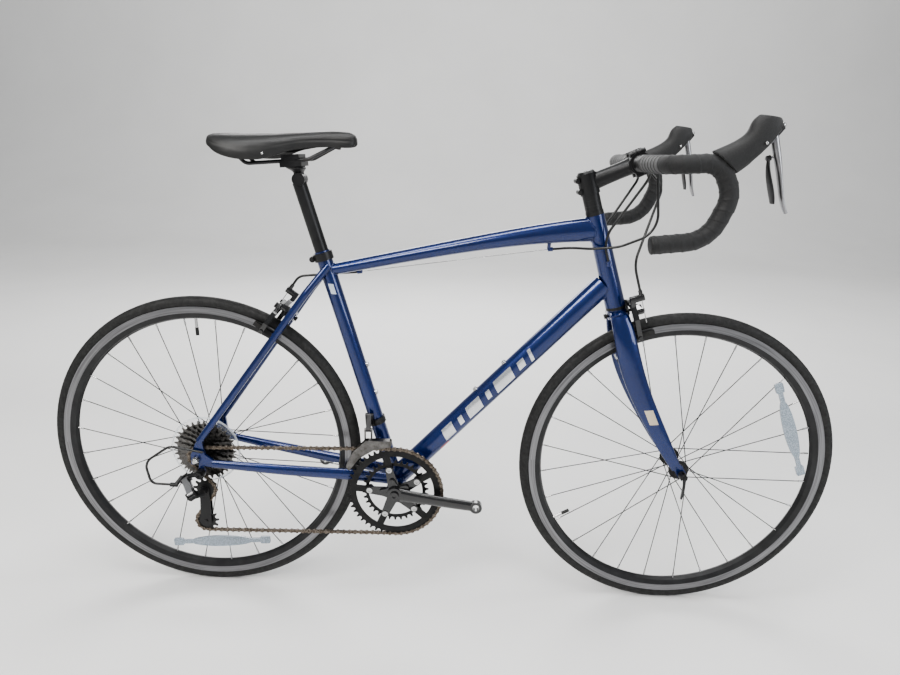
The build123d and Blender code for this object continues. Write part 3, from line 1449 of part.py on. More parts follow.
def build_knuckle_ears(outer, inner, back):
    """Two ears with a web behind the links and the two link pins."""
    ears = [(outer, 5.0), (inner, 5.0)]
    for low in (-link_half - 3.4, link_half + 0.4):
        link_layer(ears + [(outer + back, 2.5), (inner + back, 2.5)], low, low + 3.0)
    link_layer([(outer + back, 2.4), (inner + back, 2.4)], -link_half - 3.4, link_half + 3.4)
    link_pins(outer, inner)


link_swung = 38.0  # a link's angle at the end of its travel
link_room = 4.3  # half width of the room cut for a link, which is 3.8
link_side_room = link_half + 0.35


def clear_link_end(point):
    """Room for the end of a link."""
    link_layer([(point, link_room)], -link_side_room, link_side_room, Mode.SUBTRACT)


def clear_link(start, end):
    """Room for a link at rest and at the end of its travel. The pins in it are put back afterwards."""
    swung = start + link_length * (link_way * cos(radians(link_swung)) + shift_way * sin(radians(link_swung)))
    for stop in (end, swung):
        link_layer([(start, link_room), (stop, link_room)], -link_side_room, link_side_room, Mode.SUBTRACT)


hanger_at = Vector(hanger_x, 0, hanger_z)
# Derailleur body on its hanger bolt, with the barrel adjuster
with BuildPart() as rd_b_knuckle:
    across(hanger_x, hanger_z, -dropout_in - 0.5, -88, 5.0)
    across(hanger_x, hanger_z, -dropout_out - 0.2, -84, 10.0)
    across(hanger_x, hanger_z, -84, -88, 7.0)
    across(hanger_x, hanger_z, -86, -90, 2.5, Mode.SUBTRACT)
    build_knuckle_ears(outer_hinge, inner_hinge, link_way * -7.5)
    upper = outer_hinge + link_axis * (link_half + 2.5)
    rod(hanger_at + Vector(-4, -79, 0), upper + shift_way * 2 - link_way * 3, 5.0)
    barrel = from_bb(-461, -80, 16)
    rod(outer_hinge - link_way * 7.5 - shift_way * 2, barrel, 4.5)
    clear_link(outer_hinge, outer_end)
    clear_link(inner_hinge, inner_end)
    link_pins(outer_hinge, inner_hinge)
    rod(barrel + Vector(4, 0, 0), barrel + Vector(-11, -1, 0.5), 4.6)
    rod(barrel + Vector(-5, 0, 0), barrel + Vector(-14, -1, 0.5), 3.0, Mode.SUBTRACT)
finish(rd_b_knuckle, "rd_b_knuckle")

with BuildPart() as rd_outer_link:
    build_link(outer_hinge, outer_end)
finish(rd_outer_link, "rd_outer_link")

with BuildPart() as rd_inner_link:
    build_link(inner_hinge, inner_end)
finish(rd_inner_link, "rd_inner_link")

cage_inner_y = small_cog_y + 4.6
cage_outer_y = small_cog_y - 4.6
cage_plate = 1.8
stub_end = cage_outer_y - cage_plate - 13
# Lower body: hinged on both links, with the bore that the cage turns in
with BuildPart() as rd_p_knuckle:
    build_knuckle_ears(outer_end, inner_end, link_way * 7.5)
    across(guide_at.X, guide_at.Z, cage_outer_y - cage_plate - 0.5, stub_end, 8.0)
    web = (outer_end + inner_end) / 2 + link_way * 7.5
    rod(Vector(guide_at.X + 4, stub_end + 4.5, guide_at.Z - 5), web, 4.0)
    across(guide_at.X, guide_at.Z, cage_outer_y, stub_end + 1.5, 4.0 + run, Mode.SUBTRACT)
    clear_link_end(outer_end)
    clear_link_end(inner_end)
    link_pins(outer_end, inner_end)
finish(rd_p_knuckle, "rd_p_knuckle")

with BuildPart() as rd_cage:
    shape = [(guide_at.X, guide_at.Z, 10.0), (tension_at.X, tension_at.Z, 12.0)]
    capsule_plate(shape, cage_outer_y, cage_outer_y - cage_plate)
    capsule_plate(shape, cage_inner_y + cage_plate, cage_inner_y)
    for axle in (guide_at, tension_at):
        across(axle.X, axle.Z, cage_inner_y + cage_plate + 1.5, cage_outer_y - cage_plate - 0.3, 2.5)
    across(tension_at.X, tension_at.Z, cage_outer_y - cage_plate, cage_outer_y - cage_plate - 1.5, 4.0)
    across(guide_at.X, guide_at.Z, cage_outer_y, stub_end + 2, 4.0)
finish(rd_cage, "rd_cage")


def build_pulley(centre):
    """Eleven-toothed pulley with a wide hub."""
    phase = on_ring(centre, pitch_radius(pulley_teeth), pulley_teeth)
    toothed_ring(centre, small_cog_y, 2.2, pulley_teeth, phase, 0)
    across(centre.X, centre.Z, small_cog_y - 3.6, small_cog_y + 3.6, 7.0)
    across(centre.X, centre.Z, small_cog_y - 6, small_cog_y + 6, 2.5 + run, Mode.SUBTRACT)


with BuildPart() as rd_guide_pulley:
    build_pulley(guide_at)
finish(rd_guide_pulley, "rd_guide_pulley")

with BuildPart() as rd_tension_pulley:
    build_pulley(tension_at)
finish(rd_tension_pulley, "rd_tension_pulley")

# ======== Front derailleur ========
fd_hinge = from_bb(-58, -26, 168)
fd_end = from_bb(-58, -40, 140)
forward = Vector(1, 0, 0)


def fore_layer(places, x_low, x_high, mode=Mode.ADD):
    """Stretched disc square to X, from (y, z, radius), x measured from the bottom bracket."""
    with BuildSketch(Plane(origin=(bb_x + x_low, 0, 0), x_dir=(0, 1, 0), z_dir=(1, 0, 0))) as outline:
        for y, z, radius in places:
            with Locations((y, z)):
                Circle(radius)
        make_hull()
    extrude(outline.sketch, amount=x_high - x_low, mode=mode)


# Front derailleur band and body
with BuildPart() as fd_body:
    pipe(on_seat_tube(148), on_seat_tube(161), 18.6, seat_tube_radius + slip)
    for x in (-66.2, -52.6):
        fore_layer([(fd_hinge.Y, fd_hinge.Z, 4.6), (-19, bb_z + 150, 5)], x, x + 2.8)
    rod(fd_hinge - forward * 8, fd_hinge + forward * 8, link_pin)
    rod(from_bb(-40, -17, 152), from_bb(-40, -24, 152), 4.5)
    fore_layer([(-20, bb_z + 151, 4), (-18.5, bb_z + 147, 4)], -66.2, -49.8)
    seat_tube_body(slip, Mode.SUBTRACT)
finish(fd_body, "fd_body")

with BuildPart() as fd_link:
    fore_layer([(fd_hinge.Y, fd_hinge.Z, 4.0), (fd_end.Y, fd_end.Z, 4.0)], -63.0, -53.0)
    for point in (fd_hinge, fd_end):
        rod(point - forward * 9, point + forward * 9, link_pin + run, Mode.SUBTRACT)
finish(fd_link, "fd_link")

cage_side = [(-98, 50), (-76, 80), (-46, 100), (-8, 109.5), (-8, 122), (-62, 121), (-88, 96), (-105, 60)]
cage_side = [(bb_x + x, bb_z + z) for x, z in cage_side]
# Front derailleur cage, hanging from its bracket
with BuildPart() as fd_cage:
    plate(cage_side, -53.0, -54.4, 3.0)
    plate(cage_side, -39.4, -40.8, 3.0)
    across(bb_x - 98, bb_z + 57, -39.4, -54.4, 2.4)
    fore_layer([(-40.6, bb_z + 120, 1.6), (-52.6, bb_z + 120, 1.6)], -56, -12)
    for x in (-66.2, -52.6):
        fore_layer([(fd_end.Y, fd_end.Z, 4.4), (-40.1, bb_z + 119, 1.8)], x, x + 2.8)
    rod(fd_end - forward * 8, fd_end + forward * 8, link_pin)
finish(fd_cage, "fd_cage")

# ======== Cables ========
housing = 2.5
wire = 0.8


def cut_at_tape(side):
    """Trim a housing where it comes out from under the bar tape."""
    with Locations((bar_at.X, side * (tape_start - 0.1 + 10), bar_at.Z)):
        Box(60, 20, 60, mode=Mode.SUBTRACT)


front_adjuster = local(front_brake, cable_side, 45.2, cable_depth)
front_entry = local(front_brake, cable_side, 100, cable_depth)
# Front brake cable: housing from the left of the handlebar to the barrel adjuster, then the bare wire
with BuildPart() as front_brake_cable:
    start = Vector(bar_at.X + 14.5, tape_start + 2, bar_at.Z - 3)
    points = [start, from_bb(486, 36, 690), from_bb(512, 4, 655), front_entry, front_adjuster]
    routed(points, [22, 30, 60], housing)
    cut_at_tape(1)
    rod(front_adjuster, local(front_brake, cable_side, -18, cable_depth), wire)
    rod(local(front_brake, cable_side, -18, cable_depth), local(front_brake, cable_side, -23, cable_depth), 1.3)
finish(front_brake_cable, "front_brake_cable")

# Rear brake cable in front of the head tube: from the handlebar to the stop under the top tube
with BuildPart() as rear_brake_cable:
    start = Vector(bar_at.X + 14.5, -tape_start - 2, bar_at.Z - 3)
    into = front_stop_at + front_stop_way * 1.7
    points = [
        start,
        from_bb(487, -38, 688),
        from_bb(500, -41, 572),
        from_bb(428, -42, 542),
        from_bb(378, -24, 534.5),
        into + front_stop_way * 42,
        into,
    ]
    routed(points, [22, 48, 60, 60, 44], housing)
    cut_at_tape(-1)
finish(rear_brake_cable, "rear_brake_cable")

# Two shift cables: from the handlebar to the stops on the sides of the head tube
with BuildPart() as shift_cables:
    for side in (1, -1):
        start = Vector(bar_at.X + 9, side * (tape_start + 2), bar_at.Z - 11.5)
        into = on_steerer(shift_stop_up - 1.8, shift_stop_fore, side * shift_stop_side)
        points = [start, from_bb(476, side * 36, 676), into + steer_up * 52, into]
        routed(points, [24, 60], housing)
    cut_at_tape(1)
    cut_at_tape(-1)
finish(shift_cables, "shift_cables")

# Cables behind: bare wire under the top tube, housing to the rear brake, and the derailleur's loop
with BuildPart() as rear_cables:
    rod(front_stop_at + front_stop_way * 1.4, rear_stop_at + rear_stop_way * 1.4, wire)
    rear_adjuster = local(rear_brake, cable_side, 45.2, cable_depth)
    rear_entry = local(rear_brake, cable_side, 68, cable_depth)
    out_of_stop = rear_stop_at + rear_stop_way * 1.7
    points = [
        out_of_stop,
        out_of_stop + rear_stop_way * 14,
        Vector(bb_x - 128, 38, bb_z + 459),
        rear_entry,
        rear_adjuster,
    ]
    routed(points, [26, 30, 24], housing)
    rod(rear_adjuster, local(rear_brake, cable_side, -18, cable_depth), wire)
    points = [
        from_bb(-400, -75.0, 91),
        from_bb(-468, -78, 104),
        from_bb(-522, -81, 66),
        from_bb(-512, -82.5, 18.5),
        barrel + Vector(-6, -0.5, 0.3),
    ]
    routed(points, [26, 26, 16], housing)
finish(rear_cables, "rear_cables")
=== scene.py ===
import json
import math
import random

import bmesh
import bpy
import numpy as np
from mathutils import Matrix, Vector
from mathutils.bvhtree import BVHTree


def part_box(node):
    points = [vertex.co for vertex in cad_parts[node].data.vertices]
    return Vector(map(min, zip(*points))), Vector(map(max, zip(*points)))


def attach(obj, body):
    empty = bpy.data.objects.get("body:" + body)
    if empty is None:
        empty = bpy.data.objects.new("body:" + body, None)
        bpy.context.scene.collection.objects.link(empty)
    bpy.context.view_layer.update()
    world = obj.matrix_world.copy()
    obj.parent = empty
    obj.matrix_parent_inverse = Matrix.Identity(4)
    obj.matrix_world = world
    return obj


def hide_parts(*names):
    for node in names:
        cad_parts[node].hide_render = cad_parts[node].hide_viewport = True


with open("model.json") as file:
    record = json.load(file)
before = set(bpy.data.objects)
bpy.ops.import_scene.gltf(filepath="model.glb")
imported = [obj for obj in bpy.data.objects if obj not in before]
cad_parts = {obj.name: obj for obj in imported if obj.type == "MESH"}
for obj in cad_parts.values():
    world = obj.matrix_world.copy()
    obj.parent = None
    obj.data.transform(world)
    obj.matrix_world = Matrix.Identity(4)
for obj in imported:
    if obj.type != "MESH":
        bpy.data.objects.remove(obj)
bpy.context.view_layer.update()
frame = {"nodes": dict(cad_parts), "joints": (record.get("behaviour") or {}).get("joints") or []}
nodes = frame["nodes"]
random.seed(7)

# ======== Places, in metres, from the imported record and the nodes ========
joints = {j["name"]: j for j in frame["joints"]}
FRONT = Vector(joints["front_wheel_spin"]["pos_m"])
REAR = Vector(joints["rear_wheel_spin"]["pos_m"])
CRANK = Vector(joints["crank_spin"]["pos_m"])
SEAT_UP = Vector(joints["seatpost_height"]["axis"]).normalized()


# ======== Materials ========
class Nodes:
    """Short helper around one material's node tree."""

    def __init__(self, name):
        self.mat = bpy.data.materials.new(name)
        self.mat.use_nodes = True
        self.tree = self.mat.node_tree
        self.shader = self.tree.nodes["Principled BSDF"]
        self.place = self.add("ShaderNodeTexCoord").outputs["Object"]

    def add(self, kind, **props):
        node = self.tree.nodes.new(kind)
        for key, value in props.items():
            setattr(node, key, value)
        return node

    def link(self, a, b):
        self.tree.links.new(a, b)

    def put(self, socket, value):
        self.shader.inputs[socket].default_value = value

    def math(self, op, a, b=None, clamp=False):
        node = self.add("ShaderNodeMath", operation=op, use_clamp=clamp)
        for index, value in enumerate((a, b)):
            if value is None:
                continue
            if isinstance(value, (int, float)):
                node.inputs[index].default_value = value
            else:
                self.link(value, node.inputs[index])
        return node.outputs[0]

    def noise(self, scale, detail=4.0, rough=0.55, place=None):
        node = self.add("ShaderNodeTexNoise")
        node.inputs["Scale"].default_value = scale
        node.inputs["Detail"].default_value = detail
        node.inputs["Roughness"].default_value = rough
        self.link(place or self.place, node.inputs["Vector"])
        return node.outputs["Fac"]

    def cells(self, scale, feature="F1", place=None):
        node = self.add("ShaderNodeTexVoronoi", feature=feature)
        node.inputs["Scale"].default_value = scale
        self.link(place or self.place, node.inputs["Vector"])
        return node.outputs["Distance"]

    def remap(self, value, a, b, c, d):
        node = self.add("ShaderNodeMapRange", clamp=True)
        self.link(value, node.inputs["Value"])
        for key, number in zip(("From Min", "From Max", "To Min", "To Max"), (a, b, c, d)):
            node.inputs[key].default_value = number
        return node.outputs["Result"]

    def mix(self, fac, a, b):
        node = self.add("ShaderNodeMix", data_type="RGBA")
        self.link(fac, node.inputs["Factor"])
        for index, value in ((6, a), (7, b)):
            if isinstance(value, tuple):
                node.inputs[index].default_value = (*value, 1.0)
            else:
                self.link(value, node.inputs[index])
        return node.outputs[2]

    def bump(self, heights):
        """Stack of (height, strength, distance in metres)."""
        last = None
        for height, strength, distance in heights:
            node = self.add("ShaderNodeBump")
            node.inputs["Strength"].default_value = strength
            node.inputs["Distance"].default_value = distance
            self.link(height, node.inputs["Height"])
            if last is not None:
                self.link(last, node.inputs["Normal"])
            last = node.outputs["Normal"]
        self.link(last, self.shader.inputs["Normal"])

    def radial(self, centre):
        """(distance from a Y axis through centre, angle about it, y)."""
        split = self.add("ShaderNodeSeparateXYZ")
        self.link(self.place, split.inputs[0])
        x = self.math("SUBTRACT", split.outputs[0], centre.x)
        z = self.math("SUBTRACT", split.outputs[2], centre.z)
        square = self.math("ADD", self.math("MULTIPLY", x, x), self.math("MULTIPLY", z, z))
        return self.math("SQRT", square), self.math("ARCTAN2", z, x), split.outputs[1]

    def vector(self, x, y, z):
        node = self.add("ShaderNodeCombineXYZ")
        for index, value in enumerate((x, y, z)):
            if isinstance(value, (int, float)):
                node.inputs[index].default_value = value
            else:
                self.link(value, node.inputs[index])
        return node.outputs[0]


def surface(name, dark, light, rough=(0.35, 0.55), metallic=0.0, coat=0.0, coat_rough=0.05,
            patch=14.0, fine=700.0, fine_bump=0.12, depth=0.0001, dust=None, dust_amount=0.0,
            scratch=0.0):
    """Two-tone material with patches, fine grain, dust and light scratches."""
    n = Nodes(name)
    n.put("Metallic", metallic)
    n.put("Coat Weight", coat)
    n.put("Coat Roughness", coat_rough)
    broad = n.noise(patch, 5.0)
    grain = n.noise(fine, 3.0)
    tone = n.math("ADD", n.math("MULTIPLY", broad, 0.7), n.math("MULTIPLY", grain, 0.3))
    color = n.mix(n.remap(tone, 0.35, 0.65, 0.0, 1.0), dark, light)
    if dust:
        grime = n.remap(n.noise(patch * 3.1, 6.0, 0.65), 0.5, 0.78, 0.0, dust_amount)
        color = n.mix(grime, color, dust)
    n.link(color, n.shader.inputs["Base Color"])
    shine = n.math("ADD", n.math("MULTIPLY", broad, 0.6), n.math("MULTIPLY", grain, 0.4))
    n.link(n.remap(shine, 0.3, 0.7, rough[0], rough[1]), n.shader.inputs["Roughness"])
    heights = [(grain, fine_bump, depth)]
    if scratch:
        squeezed = n.add("ShaderNodeMapping")
        squeezed.inputs["Scale"].default_value = (40, 40, 900)
        n.link(n.place, squeezed.inputs["Vector"])
        heights.append((n.noise(1.0, 2.0, 0.5, squeezed.outputs[0]), scratch, depth))
    n.bump(heights)
    return n.mat


def paint(name, deep, bright):
    """Metallic flake paint under clear lacquer, with faint orange peel and dust."""
    n = Nodes(name)
    n.put("Metallic", 0.55)
    n.put("Coat Weight", 1.0)
    n.put("Coat Roughness", 0.035)
    n.put("Coat IOR", 1.5)
    flake = n.add("ShaderNodeTexVoronoi", feature="F1")
    flake.inputs["Scale"].default_value = 2600
    n.link(n.place, flake.inputs["Vector"])
    hue = n.add("ShaderNodeSeparateColor")
    n.link(flake.outputs["Color"], hue.inputs[0])
    sparkle = n.remap(hue.outputs[0], 0.2, 1.0, 0.0, 0.75)
    cloud = n.noise(9.0, 4.0)
    fac = n.math("ADD", n.math("MULTIPLY", sparkle, 0.6), n.math("MULTIPLY", cloud, 0.4), True)
    color = n.mix(fac, deep, bright)
    grime = n.remap(n.noise(38.0, 7.0, 0.7), 0.6, 0.85, 0.0, 0.06)
    color = n.mix(grime, color, (0.10, 0.10, 0.10))
    n.link(color, n.shader.inputs["Base Color"])
    n.link(n.remap(hue.outputs[1], 0.0, 1.0, 0.22, 0.40), n.shader.inputs["Roughness"])
    n.bump([(n.noise(420.0, 2.0), 0.03, 0.0002), (hue.outputs[2], 0.04, 0.00005)])
    return n.mat


def rim_material(name, centre):
    """Black rim with a bare machined brake track: fine turned lines and brake wear."""
    n = Nodes(name)
    n.put("Coat Roughness", 0.2)
    radius, angle, y = n.radial(centre)
    side = n.math("GREATER_THAN", n.math("ABSOLUTE", y), 0.0108)
    inside = n.math("GREATER_THAN", radius, 0.3022)
    track = n.math("MULTIPLY", side, inside)
    turned = n.vector(n.math("MULTIPLY", radius, 5200), n.math("MULTIPLY", angle, 5), 0)
    lines = n.noise(1.0, 3.0, 0.6, turned)
    worn = n.vector(n.math("MULTIPLY", radius, 420), n.math("MULTIPLY", angle, 2.2), 3)
    streak = n.noise(1.0, 4.0, 0.6, worn)
    metal = n.mix(n.remap(streak, 0.3, 0.7, 0, 1), (0.13, 0.13, 0.135), (0.30, 0.30, 0.31))
    black = n.mix(n.remap(n.noise(30.0, 5.0), 0.4, 0.7, 0, 1), (0.009, 0.009, 0.0098), (0.020, 0.020, 0.021))
    n.link(n.mix(track, black, metal), n.shader.inputs["Base Color"])
    n.link(n.remap(track, 0, 1, 0.1, 0.95), n.shader.inputs["Metallic"])
    rough = n.math("ADD", n.remap(track, 0, 1, 0.38, 0.26), n.math("MULTIPLY", n.noise(240, 3), 0.12))
    n.link(rough, n.shader.inputs["Roughness"])
    n.bump([(n.math("MULTIPLY", lines, track), 0.25, 0.00006), (n.noise(800.0, 2.0), 0.05, 0.00005)])
    return n.mat


def tyre_material(name, centre):
    """Rubber tyre: fine threads on the walls, small cut tread, dust and scuffs."""
    n = Nodes(name)
    radius, angle, y = n.radial(centre)
    crown = n.remap(n.math("ABSOLUTE", y), 0.0045, 0.0075, 1.0, 0.0)
    turns = n.math("MULTIPLY", angle, 110.0)
    slant = n.math("SINE", n.math("ADD", turns, n.math("MULTIPLY", n.math("ABSOLUTE", y), 1500.0)))
    cut = n.math("MULTIPLY", n.remap(slant, 0.72, 0.9, 0.0, -1.0),
                 n.remap(n.math("ABSOLUTE", y), 0.004, 0.0052, 0, 1))
    edge = n.remap(n.math("ABSOLUTE", y), 0.0095, 0.0085, 0, 1)
    tread = n.math("MULTIPLY", cut, edge)
    threads = n.math("SINE", n.math("MULTIPLY", n.math("ADD", angle, n.math("MULTIPLY", radius, 3.0)),
                                    2600.0))
    wall = n.remap(n.math("ABSOLUTE", y), 0.0095, 0.0105, 0.0, 1.0)
    dust = n.remap(n.noise(24.0, 7.0, 0.7), 0.46, 0.76, 0.0, 0.16)
    color = n.mix(n.remap(n.noise(160.0, 4.0), 0.35, 0.65, 0, 1), (0.006, 0.006, 0.006),
                  (0.015, 0.015, 0.0145))
    color = n.mix(n.math("MULTIPLY", dust, n.remap(crown, 0, 1, 0.5, 1.0)), color, (0.075, 0.07, 0.062))
    n.link(color, n.shader.inputs["Base Color"])
    n.link(n.remap(n.noise(90.0, 4.0), 0.3, 0.7, 0.55, 0.82), n.shader.inputs["Roughness"])
    n.bump([(tread, 0.9, 0.0005), (n.math("MULTIPLY", threads, wall), 0.3, 0.00006),
            (n.noise(1500.0, 3.0), 0.35, 0.00012)])
    return n.mat


def clear_material(name):
    """Clear moulded plastic with prism cells behind it."""
    n = Nodes(name)
    n.put("Transmission Weight", 0.25)
    n.put("IOR", 1.49)
    n.put("Coat Weight", 0.6)
    n.put("Coat Roughness", 0.05)
    cell = n.cells(420.0)
    color = n.mix(n.remap(cell, 0.0, 0.6, 0, 1), (0.60, 0.68, 0.76), (0.26, 0.31, 0.36))
    n.link(color, n.shader.inputs["Base Color"])
    n.link(n.remap(n.noise(60.0, 4.0), 0.3, 0.7, 0.08, 0.25), n.shader.inputs["Roughness"])
    n.bump([(cell, 0.5, 0.0005), (n.noise(500.0, 2.0), 0.06, 0.0001)])
    return n.mat


def grip_material(name, dark, light, cell_size, bump, rough):
    """Rubber or tape with a moulded cell pattern."""
    n = Nodes(name)
    n.put("Sheen Weight", 0.15)
    n.put("Sheen Roughness", 0.5)
    cell = n.cells(1.0 / cell_size, "SMOOTH_F1")
    broad = n.noise(20.0, 5.0)
    color = n.mix(n.remap(n.math("ADD", cell, broad), 0.6, 1.3, 0, 1), dark, light)
    n.link(color, n.shader.inputs["Base Color"])
    n.link(n.remap(broad, 0.3, 0.7, rough[0], rough[1]), n.shader.inputs["Roughness"])
    n.bump([(n.remap(cell, 0.0, 0.7, 0, 1), bump, 0.0004), (n.noise(1800.0, 2.0), 0.2, 0.00008)])
    return n.mat


def chain_material(name, dark, light):
    """Oiled steel with brown film in patches."""
    n = Nodes(name)
    n.put("Metallic", 0.85)
    oil = n.remap(n.noise(260.0, 5.0, 0.7), 0.38, 0.66, 0, 1)
    color = n.mix(oil, dark, light)
    n.link(color, n.shader.inputs["Base Color"])
    n.link(n.remap(oil, 0, 1, 0.55, 0.28), n.shader.inputs["Roughness"])
    n.bump([(n.noise(1600.0, 3.0), 0.2, 0.00008)])
    return n.mat


BLUE = paint("frame_blue", (0.0008, 0.0055, 0.042), (0.0020, 0.031, 0.20))
GLOSS_BLACK = surface("gloss_black", (0.005, 0.005, 0.0055), (0.011, 0.011, 0.012), (0.16, 0.30), coat=0.8,
                      dust=(0.07, 0.07, 0.065), dust_amount=0.06)
SATIN_BLACK = surface("satin_black", (0.007, 0.007, 0.0075), (0.016, 0.016, 0.017), (0.32, 0.48),
                      metallic=0.2,
                      fine=1200, fine_bump=0.16, dust=(0.08, 0.08, 0.075), dust_amount=0.06, scratch=0.05)
PLASTIC = surface("moulded_black", (0.006, 0.006, 0.006), (0.014, 0.014, 0.014), (0.45, 0.62), fine=900,
                  fine_bump=0.3)
SILVER = surface("satin_silver", (0.26, 0.26, 0.27), (0.42, 0.42, 0.43), (0.24, 0.40), metallic=1.0,
                 fine=1400,
                 fine_bump=0.10, dust=(0.24, 0.22, 0.20), dust_amount=0.25, scratch=0.12)
BRIGHT = surface("bright_steel", (0.42, 0.42, 0.42), (0.62, 0.62, 0.62), (0.16, 0.30), metallic=1.0,
                 fine=1800,
                 fine_bump=0.08, dust=(0.2, 0.18, 0.15), dust_amount=0.3)
DARK_STEEL = surface("dark_steel", (0.03, 0.03, 0.031), (0.08, 0.08, 0.083), (0.30, 0.48), metallic=0.9,
                     fine=1500,
                     fine_bump=0.14, dust=(0.12, 0.10, 0.08), dust_amount=0.4)
SPOKE = surface("spoke_black", (0.010, 0.010, 0.0105), (0.024, 0.024, 0.025), (0.26, 0.42), metallic=0.7,
                fine=1600)
COG = surface("cog_steel", (0.08, 0.078, 0.076), (0.20, 0.195, 0.19), (0.26, 0.46), metallic=1.0, patch=60,
              dust=(0.06, 0.045, 0.03), dust_amount=0.8, scratch=0.2)
RING = surface("ring_black", (0.009, 0.009, 0.0095), (0.024, 0.024, 0.025), (0.30, 0.48), metallic=0.6,
               patch=45,
               dust=(0.05, 0.04, 0.03), dust_amount=0.35, scratch=0.2)
HOUSING = surface("housing_black", (0.005, 0.005, 0.005), (0.012, 0.012, 0.012), (0.36, 0.52), fine=1100,
                  coat=0.2)
PAD = surface("pad_rubber", (0.009, 0.009, 0.009), (0.020, 0.019, 0.018), (0.62, 0.82), patch=90,
              fine=900, fine_bump=0.4,
              dust=(0.08, 0.075, 0.07), dust_amount=0.25)
WHITE_TIP = surface("white_tip", (0.70, 0.70, 0.69), (0.82, 0.82, 0.80), (0.35, 0.5), fine=900)
CHAIN = chain_material("chain_oiled", (0.06, 0.045, 0.032), (0.24, 0.21, 0.18))
CLEAR = clear_material("clear_prism")


def disc_material(name, centre):
    """Thin clear moulded disc: mostly see-through, with moulded rings and a painted highlight: a paler, more
    opaque band round the rim.
    """
    n = Nodes(name)
    radius, angle, _ = n.radial(centre)
    # painted highlight: past this radius the disc is made paler and more opaque, a bright ring round its rim
    edge = n.math("GREATER_THAN", radius, 0.0715)
    rings = n.remap(n.math("SINE", n.math("MULTIPLY", radius, 900.0)), 0.8, 1.0, 0.0, 0.07)
    haze = n.remap(n.noise(45.0, 5.0), 0.3, 0.8, 0.05, 0.14)
    cover = n.math("ADD", n.math("ADD", haze, rings), n.math("MULTIPLY", edge, 0.28))
    n.link(cover, n.shader.inputs["Alpha"])
    color = n.mix(n.remap(n.noise(120.0, 3.0), 0.3, 0.7, 0, 1), (0.62, 0.66, 0.70), (0.80, 0.83, 0.85))
    n.link(color, n.shader.inputs["Base Color"])
    n.link(n.remap(n.noise(60.0, 4.0), 0.3, 0.7, 0.08, 0.22), n.shader.inputs["Roughness"])
    n.bump([(n.noise(300.0, 2.0), 0.05, 0.0001)])
    return n.mat


DISC = disc_material("clear_disc", REAR)
HOOD = grip_material("hood_rubber", (0.006, 0.006, 0.0063), (0.014, 0.014, 0.0145), 0.0016, 0.35,
                     (0.55, 0.72))
TAPE = grip_material("bar_wrap", (0.005, 0.005, 0.0053), (0.015, 0.015, 0.0155), 0.0011, 0.45, (0.58, 0.78))
FRONT_RIM = rim_material("front_rim_black", FRONT)
REAR_RIM = rim_material("rear_rim_black", REAR)
FRONT_TYRE = tyre_material("front_tyre_rubber", FRONT)
REAR_TYRE = tyre_material("rear_tyre_rubber", REAR)
MARK = surface("silver_mark", (0.60, 0.61, 0.63), (0.80, 0.81, 0.83), (0.20, 0.32), metallic=0.85,
               coat=1.0, fine=2600)
GOLD_MARK = surface("sand_mark", (0.50, 0.42, 0.31), (0.66, 0.57, 0.44), (0.26, 0.38), metallic=0.35,
                    coat=1.0, fine=2200)
PALE_MARK = surface("pale_mark", (0.42, 0.47, 0.55), (0.60, 0.65, 0.72), (0.26, 0.38), metallic=0.2,
                    coat=1.0, fine=2200)
RED_MARK = surface("red_mark", (0.40, 0.015, 0.012), (0.52, 0.03, 0.02), (0.26, 0.38), coat=1.0, fine=2200)


# ======== Giving each CAD node its materials ========
def parts_of(obj):
    """Connected pieces of a node: list of (polygon indices, lowest corner, highest corner)."""
    mesh = obj.data
    points = np.empty(len(mesh.vertices) * 3)
    mesh.vertices.foreach_get("co", points)
    points = points.reshape(-1, 3)
    _, same = np.unique(np.round(points, 6), axis=0, return_inverse=True)
    same = same.ravel()
    parent = list(range(same.max() + 1))

    def root(i):
        while parent[i] != i:
            parent[i] = parent[parent[i]]
            i = parent[i]
        return i

    for polygon in mesh.polygons:
        first = root(same[polygon.vertices[0]])
        for vertex in polygon.vertices[1:]:
            parent[root(same[vertex])] = first
            first = root(first)
    groups = {}
    for polygon in mesh.polygons:
        groups.setdefault(root(same[polygon.vertices[0]]), []).append(polygon.index)
    found = []
    for members in groups.values():
        used = np.unique([v for i in members for v in mesh.polygons[i].vertices])
        found.append((members, Vector(points[used].min(0)), Vector(points[used].max(0))))
    return found


def dress(name, main, *rules):
    """Main material on a node, and others where a rule says: ("part", test, mat) or ("face", test, mat)."""
    obj = nodes[name]
    mesh = obj.data
    mesh.materials.clear()
    mesh.materials.append(main)
    for polygon in mesh.polygons:
        polygon.material_index = 0
    for kind, test, mat in rules:
        mesh.materials.append(mat)
        index = len(mesh.materials) - 1
        if kind == "face":
            for polygon in mesh.polygons:
                if test(polygon.center):
                    polygon.material_index = index
        else:
            for members, low, high in parts_of(obj):
                if test(low, high):
                    for i in members:
                        mesh.polygons[i].material_index = index


def size(low, high):
    return max(high - low)


def from_axle(p, centre):
    return math.hypot(p.x - centre.x, p.z - centre.z)


